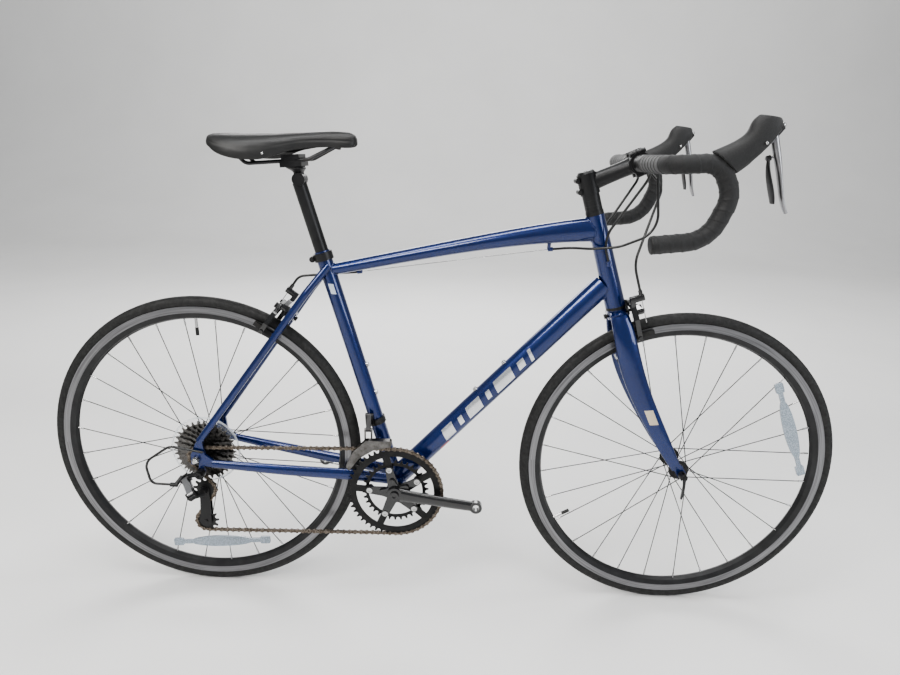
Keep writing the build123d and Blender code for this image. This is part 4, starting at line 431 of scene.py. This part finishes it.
for name in ("top_tube", "down_tube", "seat_tube", "chain_stays", "seat_stays"):
    dress(name, BLUE)
dress("head_tube", BLUE, ("part", lambda a, b: size(a, b) < 0.09, SATIN_BLACK))
dress("fork", BLUE)
dress("bb_shell", BLUE, ("face", lambda p: abs(p.y) > 0.0342, SATIN_BLACK))
dress("frame_fittings", BLUE,
      ("part", lambda a, b: b.x - a.x > 0.03 and a.z > 0.7, SATIN_BLACK),
      ("part", lambda a, b: size(a, b) < 0.016 and a.z < 0.6, BRIGHT))
for name in ("front_hub", "rear_hub", "seatpost", "handlebar"):
    dress(name, SATIN_BLACK)
dress("headset_spacers", SATIN_BLACK, ("part", lambda a, b: size(a, b) > 0.15, BRIGHT))
dress("stem", SATIN_BLACK, ("part", lambda a, b: size(a, b) < 0.03, DARK_STEEL))
dress("front_axle", SATIN_BLACK, ("part", lambda a, b: size(a, b) > 0.1, BRIGHT))
dress("rear_axle", SATIN_BLACK, ("part", lambda a, b: size(a, b) > 0.13, BRIGHT))
for name, centre, mat in (("front_rim", FRONT, FRONT_RIM), ("rear_rim", REAR, REAR_RIM)):
    dress(name, mat,
          ("part", lambda a, b: size(a, b) < 0.1, BRIGHT),
          ("face", lambda p, c=centre: from_axle(p, c) < 0.2688, PLASTIC))
dress("front_tyre", FRONT_TYRE)
dress("rear_tyre", REAR_TYRE)
for name, centre in (("front_spokes", FRONT), ("rear_spokes", REAR)):
    dress(name, SPOKE, ("face", lambda p, c=centre: from_axle(p, c) > 0.2752, BRIGHT))
dress("front_reflector", CLEAR)
dress("rear_clear_plastics", CLEAR, ("part", lambda a, b: b.x - a.x > 0.1 and b.z - a.z > 0.1, DISC))
dress("front_qr_lever", SATIN_BLACK, ("face", lambda p: p.z < FRONT.z - 0.048, WHITE_TIP))
dress("rear_qr_lever", SATIN_BLACK)
dress("saddle_base", PLASTIC, ("part", lambda a, b: b.x - a.x > 0.15 and b.y - a.y < 0.03, DARK_STEEL),
      ("part", lambda a, b: size(a, b) < 0.03, DARK_STEEL))
for name in ("brake_lever_right", "brake_lever_left"):
    dress(name, SILVER)
for name in ("shift_paddle_right", "shift_paddle_left"):
    dress(name, DARK_STEEL)
for name in ("front_brake_mount", "rear_brake_mount"):
    dress(name, SATIN_BLACK)
for name in ("front_brake_y_arm", "front_brake_c_arm", "rear_brake_y_arm", "rear_brake_c_arm"):
    dress(name, GLOSS_BLACK, ("part", lambda a, b: size(a, b) < 0.07 and b.z - a.z < 0.045, PAD))
dress("crank_right", GLOSS_BLACK, ("part", lambda a, b: size(a, b) < 0.03, DARK_STEEL))
dress("crank_left", GLOSS_BLACK, ("part", lambda a, b: size(a, b) < 0.03, DARK_STEEL))
dress("chainrings", RING,
      ("face", lambda p: p.y < -0.0496 and 0.045 < from_axle(p, CRANK) < 0.065, BRIGHT))
dress("cassette", COG, ("part", lambda a, b: size(a, b) < 0.045, DARK_STEEL))
dress("chain", CHAIN)
for name in ("rd_b_knuckle", "rd_p_knuckle"):
    dress(name, SATIN_BLACK)
for name in ("rd_outer_link", "rd_inner_link"):
    dress(name, SILVER)
dress("rd_cage", SATIN_BLACK)
dress("rd_guide_pulley", PLASTIC)
dress("rd_tension_pulley", PLASTIC)
dress("fd_body", SATIN_BLACK)
dress("fd_link", DARK_STEEL)
dress("fd_cage", COG)
dress("rear_brake_cable", HOUSING)
dress("shift_cables", HOUSING)
dress("front_brake_cable", HOUSING, ("face", lambda p: p.z < 0.7222, BRIGHT))
dress("rear_cables", HOUSING,
      ("face", lambda p: p.z > 0.70 and -0.1745 < p.x < 0.2085, BRIGHT),
      ("face", lambda p: 0.60 < p.z < 0.6950 and p.x > -0.37 and 0.034 < p.y < 0.038, BRIGHT))
dress("lever_hoods", HOOD)
dress("bar_tape", TAPE)
dress("saddle_pad", PLASTIC)


# ======== Small helpers for pieces ========
def piece(name, verts, faces, mat, body, smooth=True):
    """New mesh piece that rides on a body."""
    mesh = bpy.data.meshes.new(name)
    mesh.from_pydata([tuple(v) for v in verts], [], faces)
    mesh.validate()
    obj = bpy.data.objects.new(name, mesh)
    bpy.context.scene.collection.objects.link(obj)
    mesh.materials.append(mat)
    for polygon in mesh.polygons:
        polygon.use_smooth = smooth
    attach(obj, body)
    return obj


def rounded_path(points, radii, step):
    """Points along straight runs joined by arcs, evenly stepped."""
    pieces = [Vector(points[0])]
    for i in range(1, len(points) - 1):
        a, b, c = (Vector(points[i + k]) for k in (-1, 0, 1))
        u, v = (a - b).normalized(), (c - b).normalized()
        half = u.angle(v) / 2
        radius = radii[i - 1]
        back = radius / math.tan(half)
        start, end = b + u * back, b + v * back
        middle = b + (u + v).normalized() * (radius / math.sin(half))
        first = (start - middle)
        turn = math.pi - 2 * half
        axis = first.cross(end - middle).normalized()
        count = max(3, int(turn * radius / step))
        for k in range(count + 1):
            pieces.append(middle + Matrix.Rotation(turn * k / count, 3, axis) @ first)
    pieces.append(Vector(points[-1]))
    path = [pieces[0]]
    for a, b in zip(pieces, pieces[1:]):
        length = (b - a).length
        if length < 1e-6:
            continue
        count = max(1, int(round(length / step)))
        path += [a.lerp(b, (k + 1) / count) for k in range(count)]
    return path


def skin(path, section, closed=False):
    """Tube round a path. section(i, distance, angle) gives the radius there. Returns (verts, faces)."""
    count = len(path)
    sides = 48
    verts, faces = [], []
    way = (path[1] - path[0]).normalized()
    side = way.orthogonal().normalized()
    travelled = 0.0
    for i, point in enumerate(path):
        ahead = path[(i + 1) % count] if closed or i < count - 1 else point
        behind = path[i - 1] if closed or i > 0 else point
        now = (ahead - behind).normalized()
        side = (side - now * side.dot(now)).normalized()
        up = now.cross(side)
        if i:
            travelled += (point - path[i - 1]).length
        for k in range(sides):
            angle = 2 * math.pi * k / sides
            out = side * math.cos(angle) + up * math.sin(angle)
            verts.append(point + out * section(i, travelled, angle))
    for i in range(count if closed else count - 1):
        j = (i + 1) % count
        for k in range(sides):
            m = (k + 1) % sides
            faces.append((i * sides + k, i * sides + m, j * sides + m, j * sides + k))
    if not closed:
        faces.append(tuple(range(sides))[::-1])
        faces.append(tuple((count - 1) * sides + k for k in range(sides)))
    return verts, faces


def tree_of(name):
    """Ray-cast tree of a CAD node."""
    mesh = nodes[name].data
    return BVHTree.FromPolygons([v.co for v in mesh.vertices], [p.vertices for p in mesh.polygons])


trees = {}


def cast(name, start, way):
    if name not in trees:
        trees[name] = tree_of(name)
    return trees[name].ray_cast(start, way)


# ======== Handlebar tape, wound with overlapping turns ========
bb_x, bb_z = CRANK.x, CRANK.z
bar_half = 0.212
bar_centre = Vector((0.36402, 0, 0.96254))


def bar_line(side, start_y):
    points = [(0.440, 0.216, 0.5695), (0.530, 0.2145, 0.580), (0.560, 0.213, 0.652), (0.537, bar_half, 0.704)]
    points = [(bb_x + x, side * y, bb_z + z) for x, y, z in points]
    points.append((bar_centre.x, side * bar_half, bar_centre.z))
    points.append((bar_centre.x, side * start_y, bar_centre.z))
    return points


def wound(side):
    path = rounded_path(bar_line(side, 0.0552), [0.060, 0.048, 0.036, 0.035], 0.0011)
    total = sum((b - a).length for a, b in zip(path, path[1:]))
    turn = 0.0185

    def section(i, travelled, angle):
        share = (travelled / turn + side * angle / (2 * math.pi)) % 1.0
        lap = 0.00085 * max(0.0, 1 - share * 2.4) if share > 0.04 else 0.00085 * share / 0.04
        soft = 0.00012 * math.sin(travelled * 900 + angle * 3) * math.sin(angle * 5 + travelled * 260)
        ends = min(1.0, travelled / 0.004, (total - travelled) / 0.004)
        return 0.0147 + 0.0005 * ends + lap + soft

    verts, faces = skin(path, section)
    return verts, faces, path


for side, word in ((-1, "right"), (1, "left")):
    verts, faces, path = wound(side)
    tape = piece(f"wound_tape_{word}", verts, faces, TAPE, "steering")
    if side == -1:
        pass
    else:
        tape_left = tape
    # finishing band where the wrap ends near the stem
    band_path = [Vector((bar_centre.x, side * (0.0535 + 0.001 * k), bar_centre.z)) for k in range(15)]
    verts, faces = skin(band_path, lambda i, d, a: 0.01555 + 0.00045 * math.sin(math.pi * i / 14) ** 0.5)
    band = piece(f"tape_band_{word}", verts, faces, PLASTIC, "steering")
    # domed end plug in the drop
    end, inner = Vector(path[0]), Vector(path[3])
    out = (end - inner).normalized()
    plug_path = [end + out * 0.00055 * k for k in range(9)]
    verts, faces = skin(plug_path, lambda i, d, a: 0.0153 * math.sqrt(max(0.02, 1 - (i / 8.4) ** 4)))
    plug = piece(f"bar_plug_{word}", verts, faces, PLASTIC, "steering")
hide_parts("bar_tape")


# ======== Brake hoods: softened rubber skin over the lever bodies ========
def softened(name, source, voxel, passes, mat, body):
    """Remeshed and smoothed copy of a CAD node."""
    mesh = nodes[source].data.copy()
    obj = bpy.data.objects.new(name, mesh)
    bpy.context.scene.collection.objects.link(obj)
    bm = bmesh.new()
    bm.from_mesh(mesh)
    bmesh.ops.remove_doubles(bm, verts=bm.verts, dist=1e-6)
    bm.to_mesh(mesh)
    bm.free()
    mod = obj.modifiers.new("voxels", "REMESH")
    mod.mode = "VOXEL"
    mod.voxel_size = voxel
    mod.use_smooth_shade = True
    smooth = obj.modifiers.new("smooth", "SMOOTH")
    smooth.factor = 0.5
    smooth.iterations = passes
    bpy.context.view_layer.update()
    depsgraph = bpy.context.evaluated_depsgraph_get()
    done = bpy.data.meshes.new_from_object(obj.evaluated_get(depsgraph))
    obj.modifiers.clear()
    obj.data = done
    done.materials.clear()
    done.materials.append(mat)
    for polygon in done.polygons:
        polygon.use_smooth = True
        polygon.material_index = 0
    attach(obj, body)
    return obj


hoods = softened("hood_skins", "lever_hoods", 0.0013, 3, HOOD, "steering")
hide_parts("lever_hoods")


# ======== Saddle: crowned cover with a deep skirt, a relief groove and a seam ========
def leather_material():
    n = Nodes("saddle_leather")
    n.put("Coat Weight", 0.12)
    n.put("Coat Roughness", 0.4)
    pores = n.cells(900.0)
    folds = n.noise(240.0, 5.0, 0.6)
    broad = n.noise(16.0, 5.0)
    color = n.mix(n.remap(broad, 0.35, 0.7, 0, 1), (0.005, 0.005, 0.005), (0.013, 0.0128, 0.0125))
    dust = n.remap(n.noise(60.0, 6.0, 0.7), 0.52, 0.8, 0.0, 0.14)
    n.link(n.mix(dust, color, (0.07, 0.067, 0.06)), n.shader.inputs["Base Color"])
    n.link(n.remap(n.math("ADD", broad, folds), 0.6, 1.4, 0.42, 0.60), n.shader.inputs["Roughness"])
    n.bump([(pores, 0.25, 0.00018), (folds, 0.18, 0.0003)])
    return n.mat


LEATHER = leather_material()
low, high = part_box("saddle_pad")
saddle_tail, saddle_nose = low.x, high.x

# share of the length from tail to nose, half width, then the middle of the top and the skirt's edge,
# both in metres above the pad's foot
SADDLE_STATIONS = (
    (0.000, 0.0400, 0.0230, 0.0130),
    (0.012, 0.0500, 0.0260, 0.0075),
    (0.040, 0.0590, 0.0280, 0.0020),
    (0.090, 0.0670, 0.0288, -0.0070),
    (0.160, 0.0722, 0.0290, -0.0135),
    (0.230, 0.0728, 0.0290, -0.0172),
    (0.310, 0.0700, 0.0293, -0.0180),
    (0.390, 0.0635, 0.0300, -0.0165),
    (0.470, 0.0545, 0.0310, -0.0100),
    (0.560, 0.0445, 0.0325, -0.0010),
    (0.650, 0.0350, 0.0342, 0.0050),
    (0.740, 0.0282, 0.0358, 0.0075),
    (0.830, 0.0240, 0.0370, 0.0080),
    (0.910, 0.0215, 0.0366, 0.0075),
    (0.960, 0.0192, 0.0350, 0.0085),
    (0.988, 0.0150, 0.0310, 0.0110),
    (1.000, 0.0090, 0.0255, 0.0150),
)


def station(share, column):
    """Smooth value between the stations."""
    rows = SADDLE_STATIONS
    for k in range(len(rows) - 1):
        if share <= rows[k + 1][0]:
            break
    before, start, end, after = rows[max(0, k - 1)], rows[k], rows[k + 1], rows[min(len(rows) - 1, k + 2)]
    gap = end[0] - start[0]
    t = (share - start[0]) / gap
    lean_a = (end[column] - before[column]) / (end[0] - before[0]) * gap
    lean_b = (after[column] - start[column]) / (after[0] - start[0]) * gap
    return ((2 * t ** 3 - 3 * t ** 2 + 1) * start[column] + (t ** 3 - 2 * t ** 2 + t) * lean_a
            + (3 * t ** 2 - 2 * t ** 3) * end[column] + (t ** 3 - t ** 2) * lean_b)


def saddle_cover():
    """Closed shell: crown, shoulders, skirt, rolled edge and a shallow ceiling inside."""
    length = saddle_nose - saddle_tail
    rows = 150
    outer = 61
    roll = 0.0032
    verts, faces = [], []
    for i in range(rows + 1):
        share = 0.5 - 0.5 * math.cos(math.pi * i / rows)
        x = saddle_tail + length * share
        half, top, foot = station(share, 1), low.z + station(share, 2), low.z + station(share, 3)
        deep = top - foot
        ring = []
        for k in range(outer):
            a = math.pi * (k / (outer - 1) - 0.5)
            side, rise = math.sin(a), math.cos(a)
            flat = 2 / (2.35 + 0.5 * min(1.0, half / 0.06))
            y = half * math.copysign(abs(side) ** flat, side)
            z = foot + deep * abs(rise) ** (2 / 2.9)
            # long relief groove, a stitched seam below the shoulder and a raised pad on each side of the tail
            crown = math.exp(-(y / 0.0105) ** 2) * max(0.0,
                                                       min(1.0, (share - 0.08) / 0.2, (0.84 - share) / 0.2))
            z -= 0.0024 * crown
            panel = math.exp(-((abs(y) - (0.011 + 0.034 * (1 - share) ** 1.4)) / 0.0017) ** 2)
            z -= 0.0012 * panel * max(0.0, min(1.0, (0.93 - share) / 0.1))
            seam = math.exp(-((z - foot - 0.42 * deep) / 0.0011) ** 2) if abs(side) > 0.8 else 0.0
            y -= math.copysign(0.0009 * seam, y)
            stitch = math.sin(x * 2 * math.pi / 0.0042)
            row = math.exp(-((z - foot - 0.42 * deep - 0.0028) / 0.0006) ** 2) if abs(side) > 0.8 else 0.0
            y += math.copysign(0.00035 * row * max(0.0, stitch), y)
            wave = 0.0004 * math.sin(x * 71) * math.sin(z * 310 + 2)
            ring.append(Vector((x, y + math.copysign(wave, y), z)))
        # rolled edge, then up inside and across
        half_in = max(half - roll, 0.002)
        lift = min(0.007, deep * 0.4)
        inside = [(half - roll * 0.25, foot - 0.0006), (half - roll * 0.75, foot - 0.0005),
                  (half_in, foot + 0.0008),
                  (half_in - 0.0006, foot + lift)]
        for y, z in inside:
            ring.append(Vector((x, max(y, 0.001), z)))
        for k in range(1, 8):
            y = (half_in - 0.0006) * (1 - 2 * k / 8)
            ring.append(Vector((x, y, foot + lift)))
        for y, z in reversed(inside):
            ring.append(Vector((x, -max(y, 0.001), z)))
        verts += ring
        count = len(ring)
    for i in range(rows):
        for k in range(count):
            m = (k + 1) % count
            faces.append((i * count + k, i * count + m, (i + 1) * count + m, (i + 1) * count + k))
    faces.append(tuple(range(count))[::-1])
    faces.append(tuple(rows * count + k for k in range(count)))
    return verts, faces


verts, faces = saddle_cover()
saddle = piece("saddle_cover", verts, faces, LEATHER, "saddle_post")


def inflate(obj, cap):
    """Short cloth simulation under a little pressure, so the cover fills out between its seams."""
    mesh = obj.data
    group = obj.vertex_groups.new(name="held")
    start = np.array([v.co for v in mesh.vertices])
    held = [v.index for v in mesh.vertices if v.normal.z < 0.15]
    group.add(held, 1.0, "REPLACE")
    cloth = obj.modifiers.new("cloth", "CLOTH")
    cloth.settings.quality = 5
    cloth.settings.mass = 0.3
    cloth.settings.use_pressure = True
    cloth.settings.uniform_pressure_force = 3.0
    cloth.settings.tension_stiffness = 30
    cloth.settings.compression_stiffness = 30
    cloth.settings.bending_stiffness = 4
    cloth.settings.effector_weights.gravity = 0
    cloth.settings.vertex_group_mass = "held"
    cloth.collision_settings.use_self_collision = False
    cloth.point_cache.frame_start = 1
    cloth.point_cache.frame_end = 14
    scene = bpy.context.scene
    for number in range(1, 15):
        scene.frame_set(number)
    depsgraph = bpy.context.evaluated_depsgraph_get()
    done = obj.evaluated_get(depsgraph).to_mesh()
    moved = np.array([v.co for v in done.vertices])
    obj.evaluated_get(depsgraph).to_mesh_clear()
    obj.modifiers.clear()
    scene.frame_set(1)
    if moved.shape == start.shape and np.isfinite(moved).all():
        shift = moved - start
        length = np.linalg.norm(shift, axis=1, keepdims=True)
        shift *= np.minimum(1.0, cap / np.maximum(length, 1e-9))
        mesh.vertices.foreach_set("co", (start + shift).astype(np.float32).ravel())
        mesh.update()


inflate(saddle, 0.0012)
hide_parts("saddle_pad")

# small moulded pins in the skirt, one each side
for side, word in ((-1, "right"), (1, "left")):
    share = 0.40
    x = saddle_tail + (saddle_nose - saddle_tail) * share
    foot = low.z + station(share, 3)
    y = station(share, 1)
    pin_path = [Vector((x, side * (y - 0.004 + 0.0006 * k), foot + 0.009)) for k in range(9)]
    verts, faces = skin(pin_path, lambda i, d, a: 0.0030 * math.sqrt(max(0.05, 1 - (i / 8.3) ** 4)))
    pin = piece(f"saddle_pin_{word}", verts, faces, BRIGHT, "saddle_post")


# ======== Seatpost head: forged cradle from the post up to the rail clamp ========
def loft_rings(rings):
    """Closed skin through rings that all have as many points."""
    count = len(rings[0])
    verts = [p for ring in rings for p in ring]
    faces = []
    for i in range(len(rings) - 1):
        for k in range(count):
            m = (k + 1) % count
            faces.append((i * count + k, i * count + m, (i + 1) * count + m, (i + 1) * count + k))
    faces.append(tuple(range(count))[::-1])
    faces.append(tuple((len(rings) - 1) * count + k for k in range(count)))
    return verts, faces


# height, middle x, half length and half width, from the post's round top up to the clamp's foot
CRADLE = (
    (0.9105, -0.2888, 0.0110, 0.0120),
    (0.9160, -0.2892, 0.0112, 0.0122),
    (0.9215, -0.2898, 0.0098, 0.0112),
    (0.9260, -0.2908, 0.0096, 0.0122),
    (0.9300, -0.2925, 0.0128, 0.0170),
    (0.9328, -0.2945, 0.0166, 0.0220),
    (0.9350, -0.2960, 0.0182, 0.0240),
    (0.9392, -0.2985, 0.0180, 0.0240),
)
rings = []
for i in range(49):
    share = i / 48 * (len(CRADLE) - 1)
    k = min(int(share), len(CRADLE) - 2)
    t = share - k
    z, x, long_half, wide_half = (CRADLE[k][c] * (1 - t) + CRADLE[k + 1][c] * t for c in range(4))
    ring = []
    for j in range(64):
        a = 2 * math.pi * j / 64
        px = math.copysign(abs(math.cos(a)) ** 0.75, math.cos(a))
        py = math.copysign(abs(math.sin(a)) ** 0.75, math.sin(a))
        ring.append(Vector((x + long_half * px, wide_half * py, z)))
    rings.append(ring)
verts, faces = loft_rings(rings)
cradle = piece("seatpost_cradle", verts, faces, SATIN_BLACK, "saddle_post")


# ======== Lever tops: dark cap, bright badge plate and pivot pin on each hood ========
for side, word in ((-1, "right"), (1, "left")):
    middle_y = side * 0.212
    # cap over the front of the horn, along its leading edge
    path = [Vector((bb_x + x, middle_y, bb_z + z)) for x,
            z in ((0.6085, 0.7425), (0.6165, 0.7540), (0.6245, 0.7650))]
    path = rounded_path(path, [0.030], 0.0006)
    verts, faces = skin(
        path,
        lambda i, d, a: (0.0046 + 0.0034 * abs(math.cos(a))) * min(1.0, 0.35 + d * 260,
                                                                   0.35 + (0.0279 - d) * 260),
    )
    cap = piece(f"lever_cap_{word}", verts, faces, DARK_STEEL, "steering")
    # bright nub at the top of the cap
    top = path[-1]
    out = (path[-1] - path[-4]).normalized()
    nub_path = [top - out * 0.0015 + out * 0.0006 * k for k in range(9)]
    verts, faces = skin(nub_path, lambda i, d, a: 0.0050 * math.sqrt(max(0.04, 1 - (i / 8.4) ** 3)))
    nub = piece(f"lever_nub_{word}", verts, faces, BRIGHT, "steering")
    # pivot pin's head on both cheeks
    for cheek in (-1, 1):
        pin_path = [Vector((bb_x + 0.5965, middle_y + cheek * (0.0150 + 0.0005 * k),
                            bb_z + 0.7360)) for k in range(9)]
        verts, faces = skin(pin_path, lambda i, d, a: 0.0027 * math.sqrt(max(0.05, 1 - (i / 8.3) ** 4)))
        pin = piece(f"lever_pin_{word}_{'outer' if cheek == side else 'inner'}", verts, faces, BRIGHT,
                    "steering")


# ======== Weld beads where the frame's tubes meet ========
def bead(name, tube, target, about, way, mat, body, radius=0.0019, limit=0.0009):
    """Rippled bead along the line where a tube's outer surface meets another node."""
    if target not in trees:
        trees[target] = tree_of(target)
    other = trees[target]
    bins = {}
    side = way.orthogonal().normalized()
    up = way.cross(side)
    for vertex in nodes[tube].data.vertices:
        p = vertex.co
        near = other.find_nearest(p, 0.003)
        if near[0] is None or near[3] > limit:
            continue
        rel = p - about
        flat = rel - way * rel.dot(way)
        angle = math.atan2(flat.dot(up), flat.dot(side))
        key = int((angle + math.pi) / (2 * math.pi) * 72) % 72
        if key not in bins or flat.length > bins[key][0]:
            bins[key] = (flat.length, p.copy())
    if len(bins) < 14:
        return None
    keys = sorted(bins)
    biggest = max(bins[k][0] for k in keys)
    ring = [bins[k][1] for k in keys if bins[k][0] > 0.55 * biggest]
    for _ in range(2):
        ring = [(ring[i - 1] + ring[i] * 2 + ring[(i + 1) % len(ring)]) / 4 for i in range(len(ring))]
    path = []
    for a, b in zip(ring, ring[1:] + ring[:1]):
        count = max(1, int((b - a).length / 0.0008))
        path += [a.lerp(b, k / count) for k in range(count)]
    shift = random.random() * 6
    verts, faces = skin(
        path, lambda i, d, a: radius * (0.92 + 0.13 * math.sin(d * 2 * math.pi / 0.0034 + shift)), closed=True
    )
    return piece(name, verts, faces, mat, body)


# name, tube, what it meets, a point in the middle of the joint, the tube's direction
WELDS = (
    ("weld_top_head", "top_tube", "head_tube", Vector((0.30, 0, 0.835)), Vector((-1, 0, -0.10))),
    ("weld_down_head", "down_tube", "head_tube", Vector((0.3215, 0, 0.725)), Vector((-0.68, 0, -0.73))),
    ("weld_top_seat", "top_tube", "seat_tube", Vector((-0.235, 0, 0.738)), Vector((1, 0, 0.27))),
    ("weld_down_bb", "down_tube", "bb_shell", CRANK, Vector((0.68, 0, 0.73))),
    ("weld_seat_bb", "seat_tube", "bb_shell", CRANK, SEAT_UP),
)
for name, tube, target, about, way in WELDS:
    bead(name, tube, target, about, way.normalized(), BLUE, "frame")


# ======== Painted marks that follow the tube's surface ========
# lean of a mark's ends, along the tube per distance across it
SLANT = 0.35


def decal(name, node, outline, origin, along, out, mat, body, lift=0.00018, rows=7, cols=16):
    """Thin patch laid on a node: outline(u) gives how far along it lies, and its lower and upper edge."""
    up = out.cross(along).normalized()
    grid = []
    for i in range(cols + 1):
        u = i / cols
        x, low_v, high_v = outline(u)
        line = []
        for k in range(rows + 1):
            v = low_v + (high_v - low_v) * k / rows
            target = origin + along * (x + SLANT * v) + up * v
            hit = cast(node, target + out * 0.06, -out)
            if hit[0] is None:
                return None
            line.append(hit[0] + hit[1].normalized() * lift * (1 if hit[1].dot(out) > 0 else -1))
        grid.append(line)
    verts = [p for line in grid for p in line]
    faces = []
    for i in range(cols):
        for k in range(rows):
            a = i * (rows + 1) + k
            faces.append((a, a + rows + 1, a + rows + 2, a + 1))
    return piece(name, verts, faces, mat, body)


down_start = Vector((bb_x + 0.006, 0, bb_z + 0.021))
down_end = Vector((0.32152, 0, 0.725))
down_way = (down_end - down_start).normalized()
for side, word in ((-1, "right"), (1, "left")):
    out = Vector((0, side, 0))
    # start and length of each block along the tube
    blocks = [(0.140, 0.030), (0.186, 0.012), (0.212, 0.040), (0.268, 0.012), (0.294, 0.050),
              (0.360, 0.018), (0.392, 0.008)]
    for number, (start, length) in enumerate(blocks):
        notch = 0.004 if number % 2 else 0.0
        decal(
            f"down_tube_block_{word}_{number}",
            "down_tube",
            lambda u, s=start, l=length, n=notch: (s + l * u, -0.0125 + n, 0.0125 - n),
            down_start, down_way, out, MARK, "frame",
        )
    decal(
        f"seat_tube_mark_{word}", "seat_tube",
        lambda u: (0.4445 + 0.022 * u, -0.005, 0.005),
        CRANK, SEAT_UP, out, PALE_MARK, "frame", rows=4, cols=5,
    )
    blade_way = Vector((0.42, 0, -0.9)).normalized()
    decal(
        f"fork_mark_{word}", "fork",
        lambda u: (-0.017 + 0.034 * u, -0.0085, 0.0085),
        Vector((0.4325, side * 0.05, 0.4615)), blade_way, out, GOLD_MARK, "steering", rows=6, cols=10,
    )
decal("under_mark", "down_tube", lambda u: (0.118 + 0.025 * u, -0.0182, -0.0162), down_start, down_way,
      Vector((0, -1, 0)), RED_MARK, "frame", rows=3, cols=4)


# ======== Floor, light and camera ========
def stage_material(name, dark, light):
    n = Nodes(name)
    broad = n.noise(1.1, 6.0)
    n.link(n.mix(n.remap(broad, 0.3, 0.7, 0, 1), dark, light), n.shader.inputs["Base Color"])
    n.link(n.remap(n.noise(9.0, 5.0), 0.3, 0.7, 0.75, 0.9), n.shader.inputs["Roughness"])
    n.bump([(n.noise(60.0, 5.0), 0.05, 0.001)])
    return n.mat


FLOOR = stage_material("pale_floor", (0.74, 0.735, 0.725), (0.78, 0.775, 0.765))
verts, faces = [], []
rows = 24
for i in range(rows + 1):
    if i <= 12:
        y, z = -6.0 + i * 0.9, 0.0
    else:
        turn = (i - 12) / 12 * math.pi / 2
        y, z = 4.8 + 3.0 * math.sin(turn), 3.0 * (1 - math.cos(turn))
    for x in (-14.0, 0.0, 14.0):
        verts.append(Vector((x, y, z)))
for x in (-14.0, 0.0, 14.0):
    verts.append(Vector((x, 7.8, 12.0)))
for i in range(rows + 1):
    for k in range(2):
        a = i * 3 + k
        faces.append((a, a + 1, a + 4, a + 3))
mesh = bpy.data.meshes.new("studio_floor")
mesh.from_pydata([tuple(v) for v in verts], [], faces)
floor = bpy.data.objects.new("studio_floor", mesh)
bpy.context.scene.collection.objects.link(floor)
mesh.materials.append(FLOOR)
for polygon in mesh.polygons:
    polygon.use_smooth = True

world = bpy.data.worlds.new("pale_world")
bpy.context.scene.world = world
world.use_nodes = True
background = world.node_tree.nodes["Background"]
background.inputs["Color"].default_value = (0.86, 0.88, 0.90, 1)
background.inputs["Strength"].default_value = 0.42


def area(name, place, target, width, height, power, color=(1, 1, 1)):
    light = bpy.data.lights.new(name, "AREA")
    light.shape = "RECTANGLE"
    light.size = width
    light.size_y = height
    light.energy = power
    light.color = color
    obj = bpy.data.objects.new(name, light)
    obj.location = place
    obj.rotation_euler = (Vector(target) - Vector(place)).to_track_quat("-Z", "Y").to_euler()
    bpy.context.scene.collection.objects.link(obj)


area("key", (-1.6, -2.6, 3.0), (0, 0, 0.5), 2.6, 1.0, 105, (1.0, 0.98, 0.95))
area("top", (0.2, -0.3, 3.4), (0, 0, 0.5), 3.6, 0.7, 85)
area("fill", (2.8, -1.8, 1.6), (0.2, 0, 0.5), 1.6, 1.6, 38, (0.93, 0.96, 1.0))
area("back", (-0.5, 2.8, 2.2), (0, 0, 0.6), 3.0, 0.8, 50)
area("wall", (0, 1.6, 3.6), (0, 7.5, 2.6), 6.0, 1.0, 230)

camera_data = bpy.data.cameras.new("camera")
camera_data.sensor_width = 36
camera_data.lens = 645.1 / 900 * 36
camera_data.clip_end = 100
camera = bpy.data.objects.new("camera", camera_data)
bpy.context.scene.collection.objects.link(camera)
forward = Vector((-0.0180, 0.9614, -0.2747)).normalized()
right = Vector((0.9992, 0.0269, 0.0287))
right = (right - forward * right.dot(forward)).normalized()
up = right.cross(forward)
place = Vector((bb_x + 0.1318, -1.2906, bb_z + 0.7066))
camera.matrix_world = Matrix((
    (right.x, up.x, -forward.x, place.x),
    (right.y, up.y, -forward.y, place.y),
    (right.z, up.z, -forward.z, place.z),
    (0, 0, 0, 1),
))
bpy.context.scene.camera = camera
bpy.context.scene.view_settings.view_transform = "AgX"
bpy.context.scene.view_settings.look = "AgX - Medium High Contrast"
